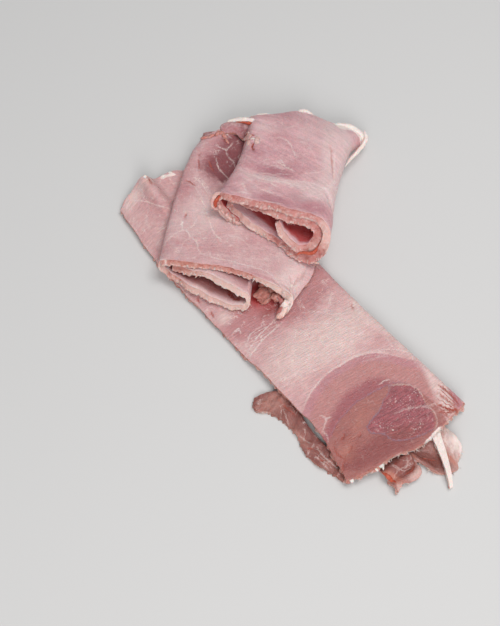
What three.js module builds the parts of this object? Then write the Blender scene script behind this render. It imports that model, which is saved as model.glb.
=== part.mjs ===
// Sliced cooked ham: three large slices, folded and laid on each other, with a thin slice and a torn strip
// under the lowest one and a strip of fat at its end.
// Units are millimetres, +Z is up, and the origin is at the middle of the bounding box's underside.
//
// Every piece is one flat sheet of meat. It starts as a flat slab, a BoxGeometry, and each vertex is then
// laid on the sheet's middle surface. A folded slice's surface is lofted through a few stations. A station
// is the fold as it lies there: a list of layers, each one given by a few points [across, along, height],
// with a round turn from each layer to the next. Across runs to the right and along to the rear.
import * as THREE from "three";

const SLICE = 2.6; // thickness of a large slice
const THIN = 2.2; // thickness of the thin slice, the torn strip and the fat
const GAP = 0.3; // between sheets that lie on each other
const LIE = SLICE / 2; // height of the middle of a sheet above what it lies on
const LAYER = SLICE + GAP; // from one layer's middle to the next one's
const ON_THIN = THIN + GAP; // a slice that lies on the thin one

const BASE_LENGTH = 218;
const BASE_WIDTH = 81; // folded in half lengthwise
const ON_BASE = 2 * LAYER + 0.9; // a slice that lies on the folded base slice
const SHOULDER = 24; // how far beyond the base slice's edge a slice takes to sag to the table

const { clamp, smoothstep, lerp, degToRad } = THREE.MathUtils;
const bump = (x, middle, reach) => Math.exp(-(((x - middle) / reach) ** 2));
const outline = (points) => new THREE.SplineCurve(points.map((point) => new THREE.Vector2(...point)));
// How far a torn edge stands in, 0 to 1: waves of unrelated lengths.
const ragged = (x) =>
  0.5 + 0.25 * Math.sin(x + 1) + 0.15 * Math.sin(2.3 * x + 2) + 0.1 * Math.sin(5.1 * x + 3);

// A frame's across and along axes on the table.
class Frame {
  constructor(x, y, heading) {
    this.origin = new THREE.Vector2(x, y);
    this.forward = new THREE.Vector2(Math.cos(degToRad(heading)), Math.sin(degToRad(heading)));
  }
  place(across, along, height) {
    const { origin, forward } = this;
    return new THREE.Vector3(
      origin.x + across * forward.y + along * forward.x,
      origin.y - across * forward.x + along * forward.y,
      height,
    );
  }
  across(point) {
    return (point.x - this.origin.x) * this.forward.y - (point.y - this.origin.y) * this.forward.x;
  }
  along(point) {
    return (point.x - this.origin.x) * this.forward.x + (point.y - this.origin.y) * this.forward.y;
  }
}
const BASE = new Frame(49.9, -104.3, 126.2);
const MIDDLE = new Frame(-48.6, 20, 74);
const TOP = new Frame(-13.6, 53, 74);

// A slab of the given thickness is laid on a middle surface at(u, v), with u and v from 0 to 1.
function laid(at, thickness, cells, rows) {
  const geometry = new THREE.BoxGeometry(1, 1, thickness, cells, rows, 1);
  const { position } = geometry.attributes;
  const step = 1e-3;
  for (let i = 0; i < position.count; i++) {
    const u = position.getX(i) + 0.5;
    const v = position.getY(i) + 0.5;
    const u0 = clamp(u, step, 1 - step);
    const v0 = clamp(v, step, 1 - step);
    const alongU = at(u0 + step, v0).sub(at(u0 - step, v0));
    const alongV = at(u0, v0 + step).sub(at(u0, v0 - step));
    const normal = alongU.cross(alongV).normalize();
    const point = at(u, v).addScaledVector(normal, position.getZ(i));
    position.setXYZ(i, point.x, point.y, point.z);
  }
  geometry.computeVertexNormals();
  return geometry;
}

const LAYER_STEPS = 4;
const TURN_STEPS = 4;

// The turn from the end of one layer to the start of the next: the arc that is tangent to both.
function turn(layer, next) {
  const start = layer.at(-1);
  const end = next[0];
  const out = start.clone().sub(layer.at(-2)).normalize();
  const back = next[1].clone().sub(end).normalize();
  const reach = start.distanceTo(end) / (3 * Math.cos(out.angleTo(back) / 4) ** 2);
  const arc = new THREE.CubicBezierCurve3(
    start,
    start.clone().addScaledVector(out, reach),
    end.clone().addScaledVector(back, -reach),
    end,
  );
  return arc.getPoints(TURN_STEPS).slice(1, -1);
}

// A station's fold as one curve. Each layer takes LAYER_STEPS of its steps and each turn TURN_STEPS.
function foldCurve(station) {
  const layers = station.map((points) =>
    new THREE.CatmullRomCurve3(points.map((p) => new THREE.Vector3(...p))).getPoints(LAYER_STEPS),
  );
  const points = [...layers[0]];
  for (let i = 1; i < layers.length; i++) points.push(...turn(layers[i - 1], layers[i]), ...layers[i]);
  return new THREE.CatmullRomCurve3(points);
}

// The middle surface of a folded slice: u runs along the fold and v through the stations. Its two ends
// are torn a little, and ground gives the height of what it lies on and doesn't sink into.
function folded(frame, stations, torn, ground) {
  const curves = stations.map(foldCurve);
  const steps = curves[0].points.length;
  return (u, v) => {
    const notch = torn * ragged(u * steps);
    const loft = new THREE.CatmullRomCurve3(curves.map((curve) => curve.getPoint(u)));
    const { x, y, z } = loft.getPoint(lerp(notch, 1 - notch, v));
    const point = frame.place(x, y, Math.max(z, LIE));
    point.z += ground(point, u);
    return point;
  };
}

function piece(name, colour, geometry) {
  const material = new THREE.MeshStandardMaterial({ color: colour, roughness: 0.45, metalness: 0 });
  const mesh = new THREE.Mesh(geometry, material);
  mesh.name = name;
  return mesh;
}

// The lowest of the large slices is folded in half lengthwise, with its fold on the right. Its lower half
// ends short of the upper one, which droops at the left edge, is puffed up at the fold and has two pleats
// at the rear.
function baseSlice() {
  const station = (along, left, right, puff, [atLeft, atMiddle, atRight] = [0, 0, 0]) => {
    const under = lerp(9, BASE_LENGTH - 8, along / BASE_LENGTH);
    return [
      [[left + 13, under, LIE], [lerp(left, right, 0.5), under, LIE], [right - 3.5, along + atRight, LIE]],
      [
        [right - 3.5, along + atRight, LIE + LAYER + puff],
        [lerp(left, right, 0.6), along + atMiddle, LIE + LAYER],
        [lerp(left, right, 0.32), along + atLeft, LIE + LAYER],
        [left + 13, along + atLeft, LIE + LAYER],
        [left, along, LIE + 0.8],
      ],
    ];
  };
  const stations = [
    station(-1, 0, BASE_WIDTH + 0.6, 1, [-4, -8, -4]),
    station(28, 5.5, BASE_WIDTH - 3, 1.2),
    station(66, 3.4, BASE_WIDTH - 6.5, 1),
    station(120, -1.2, BASE_WIDTH - 8.5, 0.8),
    station(170, -4.3, BASE_WIDTH - 8.5, 0.8),
    station(BASE_LENGTH, -1.8, BASE_WIDTH - 9.5, 0.8, [6, 0, -9]),
  ];
  const ground = (point, u) => {
    const across = BASE.across(point);
    const along = BASE.along(point);
    const pleats =
      3.4 * bump(across, 20, 7) * smoothstep(along, 175, BASE_LENGTH) +
      2.6 * bump(across, 37, 5) * smoothstep(along, 203, BASE_LENGTH);
    return ON_THIN * (1 - smoothstep(along, 64, 102)) + smoothstep(u, 0.5, 0.56) * pleats;
  };
  return piece("base_slice", 0xd29a9a, laid(folded(BASE, stations, 0.012, ground), SLICE, 26, 24));
}

// The middle slice lies across the base slice and sags to the table behind it. From its inner edge the
// sheet runs right, turns under and back to the left, and turns over to the long top layer.
function middleSlice() {
  const stations = [
    [
      [[2, 1, 5], [24, 1, 7.6], [46, -3, 7]],
      [[45, -8.5, LIE], [24, -5, LIE], [3, -1, LIE + 0.3]],
      [[-1.5, 2.5, 8.4], [30, 6.5, 10.8], [60, 4.5, 9.8], [74, 0, 6], [71, -6, 2.4]],
    ],
    [
      [[2, 30, 4.8], [24, 30, 6], [43, 30, 5.6]],
      [[43, 30, LIE], [24, 30, LIE], [-2, 30, LIE]],
      [[-5, 30, 7.9], [20, 30, 9.3], [46, 30, 8.7], [66, 28, 5.8], [82, 25, 2.4]],
    ],
    [
      [[2, 75, 4.7], [20, 74, 4.8], [38, 74, 5.3]],
      [[37, 74, LIE], [20, 75, LIE], [-6, 78, LIE]],
      [[-7.5, 78, 8], [16, 76, 8], [40, 74, 8.3], [58, 72, 4.2], [72, 70, 1.8]],
    ],
    [
      [[6, 98, 5], [20, 100, 5], [37, 102, 5.6]],
      [[36, 103, LIE], [20, 107, LIE], [-5, 105, LIE]],
      [[-4, 100, 8.2], [12, 116, 8.2], [38, 118, 8.6], [56, 112, 4.2], [70, 106, 1.8]],
    ],
  ];
  const ground = (point) => {
    const beside = 1 - smoothstep(BASE.across(point), BASE_WIDTH - 7, BASE_WIDTH - 7 + SHOULDER);
    const behind = 1 - smoothstep(BASE.along(point), BASE_LENGTH + 3, BASE_LENGTH + 3 + SHOULDER);
    return ON_BASE * beside * behind;
  };
  return piece("middle_slice", 0xd8a8a6, laid(folded(MIDDLE, stations, 0.02, ground), SLICE, 48, 10));
}

// The top slice is rolled up one and a half times. From its inner edge the sheet makes a small loop, runs
// left under the top layer, down to the right again, up around the large loop and back over everything
// to the left, where its last lip turns under at the front and flares out at the rear.
function topSlice() {
  const stations = [
    [
      [[29.8, -3, 28.7], [36, -8, 25.8], [47.5, -11, 22]],
      [[49.5, -1.5, 31], [26, 1.5, 30.7], [3.5, 5.4, 28]],
      [[2.5, 1.4, 22.8], [24, -7.5, 18.6], [48, -16, 16]],
      [[53, 1.5, 34], [30, 2.5, 34.3], [-3, 5, 31]],
      [[-6.5, 1.5, 24.5], [2, -1.8, 19.6], [10.9, -4, 18.2]],
    ],
    [
      [[31, 38, 19.4], [38, 38, 17.4], [44, 38, 15.5]],
      [[45, 38, 21.5], [26, 38, 23], [5, 38, 23.1]],
      [[5, 38, 19.8], [26, 38, 14.9], [49, 38, 9]],
      [[49, 38, 25], [30, 38, 26.4], [1.5, 38, 25.9]],
      [[-3, 38, 21.6], [-3, 38, 19.3], [-1.3, 38, 17.8]],
    ],
    [
      [[31, 76, 13.3], [38, 76, 11.9], [44, 76, 10.7]],
      [[45, 76, 14.6], [26, 75, 16.9], [4, 73, 16.8]],
      [[4, 73, 13.4], [26, 75, 10.5], [52, 76, 5.6]],
      [[50, 76, 18], [30, 76, 20.4], [-1, 71, 21.1]],
      [[-6, 72, 16.8], [-7, 72, 14.4], [-7.5, 72, 12.4]],
    ],
    [
      [[31, 84, 9.8], [38, 84, 8.9], [44, 84, 8]],
      [[45, 84, 11.6], [26, 83, 13.3], [4, 81, 13]],
      [[4, 81, 9.6], [26, 85, 5.6], [60, 84, 1.6]],
      [[56, 92, 8.4], [42, 91, 11], [20, 94, 12.8], [8, 85, 16], [-4, 77.5, 17.6]],
      [[-9, 76.5, 14.6], [-13, 75, 12.6], [-18, 73.5, 11]],
    ],
  ];
  return piece("top_slice", 0xcf9598, laid(folded(TOP, stations, 0.02, () => 0), SLICE, 64, 9));
}

// The thin slice lies flat under the front of the base slice. Its torn front edge sticks out there in two
// flaps: the left one has a hollow behind its lip, and the right one turns up at its right side.
function thinSlice() {
  const left = [[19, -20.5], [24, -18.2], [29, -20], [36, -19.4], [39, -13]];
  const right = [[43, -23], [48, -28], [54, -29], [57, -25.5], [62.5, -22], [64.3, -13]];
  const edge = outline([...left, ...right]);
  const at = (u, v) => {
    const { x, y } = edge.getPoint(u).lerp(new THREE.Vector2(lerp(19, 66, u), 58), v * v);
    const ridges = (1 - smoothstep(x, 36, 39)) * (3.4 * bump(y, -8.5, 3) + 3 * bump(y, -17, 3));
    const sides = smoothstep(-y, 6, 16) * (4 * bump(x, 63, 4) + 1.2 * bump(x, 41, 3));
    return BASE.place(x, y, THIN / 2 + ridges + sides);
  };
  return piece("thin_slice", 0xc98e8a, laid(at, THIN, 24, 14));
}

// The torn strip sticks out along the base slice's left edge, with a narrow opening between the two.
function tornStrip() {
  const outer = [[0.5, 2], [-1.5, 9], [-5.5, 20], [-6, 28], [-3.5, 38], [-4, 47], [-7, 57], [-12, 63], [-9, 69]];
  const inner = [[4.5, 2], [5.5, 10], [4.5, 20], [1.5, 30], [2, 41], [7, 50], [9, 58], [7, 64], [3, 68]];
  const [left, right] = [outline(outer), outline(inner)];
  const at = (u, v) => {
    const { x, y } = left.getPoint(v).lerp(right.getPoint(v), u);
    return BASE.place(x, y, THIN / 2);
  };
  return piece("torn_strip", 0xc48a88, laid(at, THIN, 5, 26));
}

// The strip of fat comes out from under the base slice's front end, lies over the right flap and tapers.
function fatStrip() {
  const path = new THREE.CatmullRomCurve3([
    new THREE.Vector3(58.5, 1, ON_THIN + 1.5),
    new THREE.Vector3(56.3, -7.5, ON_THIN + 1.6),
    new THREE.Vector3(52.2, -18, ON_THIN + 1.7),
    new THREE.Vector3(48.2, -26.5, ON_THIN + 1.4),
    new THREE.Vector3(44.2, -34, THIN / 2 + 0.4),
  ]);
  const at = (u, v) => {
    const { x, y, z } = path.getPoint(v);
    const width = lerp(10.5, 1.2, v);
    return BASE.place(x + (0.5 - u) * width, y, z);
  };
  return piece("fat_strip", 0xeadfd9, laid(at, THIN, 4, 12));
}

const slices = new THREE.Group();
slices.add(
  thinSlice(),
  tornStrip(),
  fatStrip(),
  baseSlice(),
  middleSlice(),
  topSlice(),
);

// The origin goes to the middle of the bounding box's underside.
const box = new THREE.Box3().setFromObject(slices);
const centre = box.getCenter(new THREE.Vector3());
slices.position.set(-centre.x, -centre.y, -box.min.z);

const part = new THREE.Group();
part.add(slices);
export default part;
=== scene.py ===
# %% [markdown]
# # Sliced cooked ham
# Three large slices of cooked ham lie over each other in a loose heap: one folded in half lengthwise, one
# folded across it, and one rolled up on top. A thin torn slice, a torn strip and a strip of fat stick out
# from under the front end. Each piece is a soft sheet about 2.5 mm thick, so each is modelled as a sheet.

# %% Load the fixed frame
import math
import bmesh
import bpy
import numpy as np
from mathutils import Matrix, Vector, noise as field


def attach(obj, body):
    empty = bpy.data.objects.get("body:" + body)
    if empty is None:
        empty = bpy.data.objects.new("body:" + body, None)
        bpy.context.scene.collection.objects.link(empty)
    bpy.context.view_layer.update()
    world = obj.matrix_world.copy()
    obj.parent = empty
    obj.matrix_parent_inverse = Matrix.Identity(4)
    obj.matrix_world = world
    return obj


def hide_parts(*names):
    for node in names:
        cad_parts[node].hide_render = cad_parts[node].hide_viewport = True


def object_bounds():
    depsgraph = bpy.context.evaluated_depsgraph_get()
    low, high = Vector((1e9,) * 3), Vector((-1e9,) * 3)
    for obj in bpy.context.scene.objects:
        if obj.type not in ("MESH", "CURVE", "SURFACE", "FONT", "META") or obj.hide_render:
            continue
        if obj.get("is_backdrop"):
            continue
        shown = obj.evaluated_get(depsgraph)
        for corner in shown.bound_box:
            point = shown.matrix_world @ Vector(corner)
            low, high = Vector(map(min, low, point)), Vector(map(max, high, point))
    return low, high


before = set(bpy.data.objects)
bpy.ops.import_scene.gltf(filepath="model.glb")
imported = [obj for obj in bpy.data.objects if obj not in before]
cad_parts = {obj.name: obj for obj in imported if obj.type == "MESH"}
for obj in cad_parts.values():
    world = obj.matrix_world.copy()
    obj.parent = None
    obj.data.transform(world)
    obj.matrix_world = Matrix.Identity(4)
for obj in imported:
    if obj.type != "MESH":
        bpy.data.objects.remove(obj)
cad_box = [list(corner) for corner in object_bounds()]
print("nodes:", sorted(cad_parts))

# %% [markdown]
# ## The camera, the table and the light
# The camera looks down at the heap from the front. A lens of 60 mm keeps the far slices from shrinking.
# Meat looks wet only when something bright is mirrored in it, so the main light is one large soft window
# on the right. A weaker one in front lights the cut edges, and a dim sky fills the rest.

# %% Camera and table
MM = 0.001
scene = bpy.context.scene
AIM = Vector((-19.17, -13.52, 0)) * MM
CAMERA_RISE = math.radians(61.5)
CAMERA_REACH = 0.6


def look_at(thing, place, aim):
    thing.location = place
    thing.rotation_euler = (aim - place).to_track_quat("-Z", "Y").to_euler()
    scene.collection.objects.link(thing)


camera = bpy.data.objects.new("camera", bpy.data.cameras.new("camera"))
camera.data.lens = 60
camera.data.sensor_fit = "VERTICAL"
camera.data.sensor_height = 36
toward_camera = Vector((0, -math.cos(CAMERA_RISE), math.sin(CAMERA_RISE)))
look_at(camera, AIM + CAMERA_REACH * toward_camera, AIM)
scene.camera = camera

table = bmesh.new()
bmesh.ops.create_grid(table, x_segments=1, y_segments=1, size=2)
floor = bpy.data.objects.new("floor", bpy.data.meshes.new("floor"))
table.to_mesh(floor.data)
table.free()
scene.collection.objects.link(floor)
floor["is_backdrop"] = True
print("camera at", [round(x, 3) for x in camera.location])

# %% Lights
def window(name, place, size, watts):
    light = bpy.data.lights.new(name, "AREA")
    light.shape = "RECTANGLE"
    light.size, light.size_y = size
    light.energy = watts
    look_at(bpy.data.objects.new(name, light), Vector(place), AIM)


window("window_light", (0.42, 0.12, 1.5), (1.0, 1.0), 14)
window("fill_light", (0.1, -1.25, 0.9), (0.8, 0.8), 12.5)
scene.world = bpy.data.worlds.new("sky")
scene.world.use_nodes = True
sky = scene.world.node_tree.nodes["Background"].inputs
sky["Color"].default_value = (0.95, 0.97, 1, 1)
sky["Strength"].default_value = 0.3
scene.view_settings.view_transform = "Standard"
print("lights:", [light.name for light in bpy.data.lights])

# %% [markdown]
# ## Sizes
# A slice of this ham is about 2.6 mm thick, and the torn pieces are a little thinner. Every piece is laid
# out on the table in its own frame: across runs to its right and along runs to its rear.

# %% Named sizes
SLICE = 2.6  # thickness of a large slice, in mm as all lengths up to the mesh
THIN = 2.2  # thickness of a torn piece
GAP = 0.3  # air between two layers
LIE = SLICE / 2  # height of the middle of a slice that lies on the table
LAYER = SLICE + GAP
ON_THIN = THIN + GAP  # height of what lies on a torn piece
BASE_LENGTH = 218
BASE_WIDTH = 81
ON_BASE = 2 * LAYER + 0.9  # height of what lies on the folded base slice
SHOULDER = 24  # how far beside the base slice the middle slice comes down to the table
SHIFT = np.array((-19.1657, -13.5236, 0))  # from the table's plan to the frame's origin


def bump(x, middle, reach):
    """A bell curve that is 1 in the middle."""
    return np.exp(-(((x - middle) / reach) ** 2))


def smoothstep(x, low, high):
    t = np.clip((x - low) / (high - low), 0, 1)
    return t * t * (3 - 2 * t)


def lerp(a, b, t):
    return a + (b - a) * t


class Plan:
    """A piece's own across and along axes on the table. Along points to the heading, in degrees."""

    def __init__(self, x, y, heading):
        self.x, self.y = x, y
        self.ahead = math.cos(math.radians(heading)), math.sin(math.radians(heading))

    def place(self, across, along, height):
        x = self.x + across * self.ahead[1] + along * self.ahead[0]
        y = self.y - across * self.ahead[0] + along * self.ahead[1]
        return np.stack([x, y, height + 0 * x], -1)

    def across(self, point):
        return (point[..., 0] - self.x) * self.ahead[1] - (point[..., 1] - self.y) * self.ahead[0]

    def along(self, point):
        return (point[..., 0] - self.x) * self.ahead[0] + (point[..., 1] - self.y) * self.ahead[1]


BASE = Plan(49.9, -104.3, 126.2)
MIDDLE = Plan(-48.6, 20, 74)
TOP = Plan(-13.6, 53, 74)
print("a folded slice is", round(2 * LAYER, 1), "mm high")

# %% [markdown]
# ## From a few points to a smooth sheet
# A fold could be simulated as cloth, but these folds were laid by hand, so their places are known better
# than the forces. So the fold is drawn: at each of a few stations along a slice, its layers are short
# rows of points, joined by round turns, and one smooth surface runs through all stations.

# %% Smooth curves and folds
STEPS = 4  # steps in each layer and in each turn


def smooth_curve(points, t):
    """A centripetal Catmull-Rom curve through points[0], points[1], ... at t from 0 to 1."""
    rows = np.asarray(points, float)
    count = len(rows)
    rows = np.concatenate([[2 * rows[0] - rows[1]], rows, [2 * rows[-1] - rows[-2]]])
    t = np.asarray(t, float)
    step = np.clip(t, 0, 1) * (count - 1)
    first = np.minimum(step.astype(int), count - 2)
    w = (step - first)[..., None]
    if rows.ndim == 2:
        q = [rows[first + k] for k in range(4)]
    else:
        which = np.broadcast_to(np.arange(rows.shape[1]).reshape(-1, *[1] * (t.ndim - 1)), t.shape)
        q = [rows[first + k, which] for k in range(4)]
    gaps = [np.sqrt(np.linalg.norm(q[k + 1] - q[k], axis=-1, keepdims=True)) for k in range(3)]
    middle = np.where(gaps[1] < 1e-4, 1, gaps[1])
    before = np.where(gaps[0] < 1e-4, middle, gaps[0])
    after = np.where(gaps[2] < 1e-4, middle, gaps[2])
    leave = (q[1] - q[0]) / before - (q[2] - q[0]) / (before + middle) + (q[2] - q[1]) / middle
    enter = (q[2] - q[1]) / middle - (q[3] - q[1]) / (middle + after) + (q[3] - q[2]) / after
    leave, enter = leave * middle, enter * middle
    cubic = 2 * (q[1] - q[2]) + leave + enter
    square = 3 * (q[2] - q[1]) - 2 * leave - enter
    return q[1] + leave * w + square * w**2 + cubic * w**3


def turn(layer, following):
    """The round turn from the end of one layer to the start of the next."""
    start, end = layer[-1], following[0]
    out = (start - layer[-2]) / np.linalg.norm(start - layer[-2])
    back = (following[1] - end) / np.linalg.norm(following[1] - end)
    angle = math.acos(np.clip(out @ back, -1, 1))
    reach = np.linalg.norm(end - start) / (3 * math.cos(angle / 4) ** 2)
    a, b = start + out * reach, end - back * reach
    t = np.linspace(0, 1, STEPS + 1)[1:-1, None]
    return start * (1 - t) ** 3 + 3 * a * (1 - t) ** 2 * t + 3 * b * (1 - t) * t**2 + end * t**3


def fold_points(station):
    """The points of a station's layers and of the turns between them."""
    layers = [smooth_curve(layer, np.linspace(0, 1, STEPS + 1)) for layer in station]
    points = [layers[0]]
    for layer, following in zip(layers, layers[1:]):
        points += [turn(layer, following), following]
    return np.concatenate(points)


def ragged(x):
    """How far the front and rear edges stand in, from 0 to 1."""
    return 0.5 + 0.25 * np.sin(x + 1) + 0.15 * np.sin(2.3 * x + 2) + 0.1 * np.sin(5.1 * x + 3)


def folded(plan, stations, torn, ground):
    """The middle surface of a folded slice: u runs through its layers, v through the stations."""
    curves = [fold_points(station) for station in stations]

    def at(u, v):
        rows = np.stack([smooth_curve(curve, u[:, 0]) for curve in curves])
        notch = torn * ragged(u * len(curves[0]))
        p = smooth_curve(rows, notch + (1 - 2 * notch) * v)
        point = plan.place(p[..., 0], p[..., 1], np.maximum(p[..., 2], LIE))
        point[..., 2] += ground(point, np.broadcast_to(u, p.shape[:-1]))
        return point

    return at


two_layers = [[[0, 0, 1], [9, 0, 1]], [[9, 0, 4], [0, 0, 4]]]
print("a station with two layers has", len(fold_points(two_layers)), "points")

# %% [markdown]
# ## From a surface to a slab of meat
# A Solidify modifier could thicken the surface, but a slice's cut edge is not square: it is rounded and
# torn. So a bmesh grid becomes a closed shell with the solidify operator, its rim is subdivided, and then
# every vertex is placed: on the surface, half a thickness out, and near the edge a little ragged.
# The grid is finest at the edges and in the turns. Each vertex also keeps where it was on the flat slice,
# as a UV map, so that fat and muscle can be drawn on the slice before it is folded.

# %% Noise for uneven meat
TILE = 60  # cells of noise before it repeats
TILE_START = 200  # cells that keep every place above 0


def between(table, i, j, fx, fy):
    """The table's value at (i + fx, j + fy)."""
    low = lerp(table[i, j], table[i + 1, j], fx)
    return lerp(low, lerp(table[i, j + 1], table[i + 1, j + 1], fx), fy)


def noise(x, y, size, seed):
    """A smooth uneven field from -1 to 1 with lumps of the given size."""
    table = np.random.default_rng(seed).uniform(-1, 1, (TILE + 1, TILE + 1))
    x, y = x / size + TILE_START, y / size + TILE_START
    i, j = np.floor(x).astype(int), np.floor(y).astype(int)
    return between(table, i % TILE, j % TILE, smoothstep(x - i, 0, 1), smoothstep(y - j, 0, 1))


def rough(x, y, size, seed):
    """Three layers of noise, each half as large and as strong as the one before."""
    strengths = [1, 1 / 2, 1 / 4]
    layers = [part * noise(x, y, size * part, seed + k) for k, part in enumerate(strengths)]
    return sum(layers) / sum(strengths)


print("noise at three places:", [round(float(noise(np.array(x), np.array(0), 5, 1)), 2) for x in (0, 4, 8)])

# %% A sheet: where each grid point goes
FINE = 1200, 400  # points in the tables that the sheets are read from
EDGE = (0, 0.06, 0.17, 0.36, 0.66, 1.1)  # grid lines near an edge, in mm from it
FLAT = 300  # mm of flat slice to one unit of the UV map
FACE_UP = slice(-200, -60)  # rows of the tables that lie face up in every slice
TURN_LENGTH = 1.6  # mm of grid added for each radian that a sheet turns
TEAR = 7  # size of the tears in an edge, and how far in from it the grid follows them
FRONT, REAR, LAST, FIRST = 0, 50, 90, 130  # the row of noise that tears each edge


def unit(vectors):
    """The vectors with a length of 1."""
    return vectors / np.maximum(np.linalg.norm(vectors, axis=-1, keepdims=True), 1e-9)


def read(table, u, v):
    """The table's value between its points, with u and v from 0 to 1."""
    x, y = u * (table.shape[0] - 1), v * (table.shape[1] - 1)
    i = np.clip(x.astype(int), 0, table.shape[0] - 2)
    j = np.clip(y.astype(int), 0, table.shape[1] - 2)
    fx, fy = x - i, y - j
    if table.ndim == 3:
        fx, fy = fx[..., None], fy[..., None]
    return between(table, i, j, fx, fy)


def grid_lines(length, cell):
    """Where the lines of a grid cross a side: a cell apart, and closer at its ends."""
    near = np.array(EDGE)
    count = max(2, round((length - 2 * near[-1]) / cell))
    inner = np.linspace(near[-1], length - near[-1], count + 1)
    return np.concatenate([near[:-1], inner, length - near[-2::-1]])


class Sheet:
    """Grid points on a surface, with their normals, flat coordinates s and t, and distance to the edge."""

    def __init__(self, at, cells, seed, torn):
        u, v = np.linspace(0, 1, FINE[0]), np.linspace(0, 1, FINE[1])
        points = at(u[:, None], v[None, :])
        normals = unit(np.cross(np.gradient(points, axis=0), np.gradient(points, axis=1)))
        normals *= np.sign(normals[FACE_UP, :, 2].mean())
        run = np.linalg.norm(np.diff(points, axis=0), axis=-1)
        run = np.concatenate([np.zeros((1, FINE[1])), np.cumsum(run, 0)])
        from_end = run[-1] - run
        side = np.linalg.norm(np.diff(points[FACE_UP.start], axis=0), axis=-1)
        from_front = np.concatenate([[0], np.cumsum(side)])

        # The grid lines across the fold: evenly along it, and closer where it turns.
        middle = normals[:, FINE[1] // 2]
        bend = np.arccos(np.clip((middle[1:] * middle[:-1]).sum(-1), -1, 1))
        length = run.mean(1) + TURN_LENGTH * np.concatenate([[0], np.cumsum(bend)])
        u_lines = np.interp(grid_lines(length[-1], cells[0]), length, u)
        v_lines = np.interp(grid_lines(from_front[-1], cells[1]), from_front, v)

        # A torn edge stands in by up to twice `torn`, and the grid lines near it follow.
        def stands_in(along, row):
            return torn * (1 + rough(along, 0 * along + row, TEAR, seed))

        def near(distance):
            return 1 - smoothstep(distance, 0, TEAR)

        s0, t0 = np.interp(u_lines, u, from_end.mean(1)), np.interp(v_lines, v, from_front)
        long, wide = from_end.mean(1)[0], from_front[-1]
        t = t0 + stands_in(s0, FRONT)[:, None] * near(t0) * (1 - t0 / wide)
        t -= stands_in(s0, REAR)[:, None] * near(wide - t0) * (t0 / wide)
        s = s0[:, None] + stands_in(t0, LAST) * near(s0)[:, None]
        s -= stands_in(t0, FIRST) * near(long - s0)[:, None]
        self.u = np.interp(-s, -from_end.mean(1), u)
        at_v = np.interp(t, from_front, v)
        self.points = read(points, self.u, at_v)
        self.normals = unit(read(normals, self.u, at_v))
        self.s = read(from_end, self.u, at_v)
        self.t = t + 0 * s
        gaps = [self.t - self.t[:, :1], self.t[:, -1:] - self.t, s - s[-1:], s[:1] - s]
        self.edge = np.minimum.reduce(gaps)


print("grid lines near an edge:", grid_lines(20, 1).round(2)[:8])

# %% From a bmesh to a piece
def put(verts, places):
    """Moves vertices to places on the table, in mm."""
    for vert, place in zip(verts, (places + SHIFT) * MM):
        vert.co = place


def turn_outward(shell):
    """Turns the faces of a closed shell round if they face inward."""
    if shell.calc_volume(signed=True) < 0:
        bmesh.ops.reverse_faces(shell, faces=shell.faces[:])


def mesh_of(name, shell):
    """A mesh of the bmesh, which is freed."""
    mesh = bpy.data.meshes.new(name)
    shell.to_mesh(mesh)
    shell.free()
    return mesh


def keep_flat(mesh, s, t):
    """The UV map "flat": where each corner is on the flat slice."""
    flat = np.stack([s, t], -1) / FLAT
    corners = np.zeros(len(mesh.loops), int)
    mesh.loops.foreach_get("vertex_index", corners)
    mesh.uv_layers.new(name="flat").uv.foreach_set("vector", flat[corners].astype(np.float32).ravel())


def keep(piece, name, values):
    """Keeps a value or a vector for each vertex, which the material can read by its name."""
    values = np.asarray(values, np.float32)
    kind, key = ("FLOAT", "value") if values.ndim == 1 else ("FLOAT_VECTOR", "vector")
    piece.data.attributes.new(name, kind, "POINT").data.foreach_set(key, values.ravel())


def add_piece(mesh, s, t):
    """A smooth object of that mesh, which keeps where each vertex is on the flat slice."""
    mesh.shade_smooth()
    keep_flat(mesh, s, t)
    piece = bpy.data.objects.new(mesh.name, mesh)
    scene.collection.objects.link(piece)
    print(mesh.name, "has", len(mesh.polygons), "faces")
    return piece


def finish_piece(piece, material, node_name=None):
    """Gives the piece its material and body, and hides the node of the solid model that it replaces."""
    piece.data.materials.append(material)
    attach(piece, "root")
    if node_name:
        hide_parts(node_name)


def finish_small(piece, material):
    """A small piece gets its material and body, and replaces no node of the solid model."""
    finish_piece(piece, material)


print("one unit of the UV map is", FLAT, "mm of slice")

# %% A slab: a closed mesh round a sheet
ROUND = 0.36  # rounding of the cut edges
RIM_ROWS = 5
PAINTED_RIM = 0.3  # how far the cut face's colour reaches round its edge
FIBRE, FINE_FIBRE, THREAD = 2.4, 0.9, 1.3  # width of what a cut face is torn into
SLANTED = 5  # how far from the front edge a slant reaches


def grid_shell(cells):
    """Two grids with a rim between them. Each vertex has the number of its grid point and its side, from
    1 on the outer grid to -1 on the inner one."""
    shell = bmesh.new()
    bmesh.ops.create_grid(shell, x_segments=cells[0], y_segments=cells[1], size=1)
    layers = shell.verts.layers.float
    number = layers.new("number")
    side = layers.new("side")
    for vert in shell.verts:
        i, j = round((vert.co.x + 1) / 2 * cells[0]), round((vert.co.y + 1) / 2 * cells[1])
        vert[number] = i * (cells[1] + 1) + j
        vert[side] = 1
    first_new = len(shell.verts)
    bmesh.ops.solidify(shell, geom=shell.faces[:], thickness=0.01)
    shell.verts.ensure_lookup_table()
    for vert in shell.verts[first_new:]:
        vert[side] = -1
    rim = [edge for edge in shell.edges if edge.verts[0][number] == edge.verts[1][number]]
    bmesh.ops.subdivide_edges(shell, edges=rim, cuts=RIM_ROWS, use_grid_fill=True)
    n = np.rint([vert[number] for vert in shell.verts]).astype(int)
    k = np.array([vert[side] for vert in shell.verts])
    for name in ("number", "side"):
        layers.remove(layers[name])
    return shell, n, k


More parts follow.
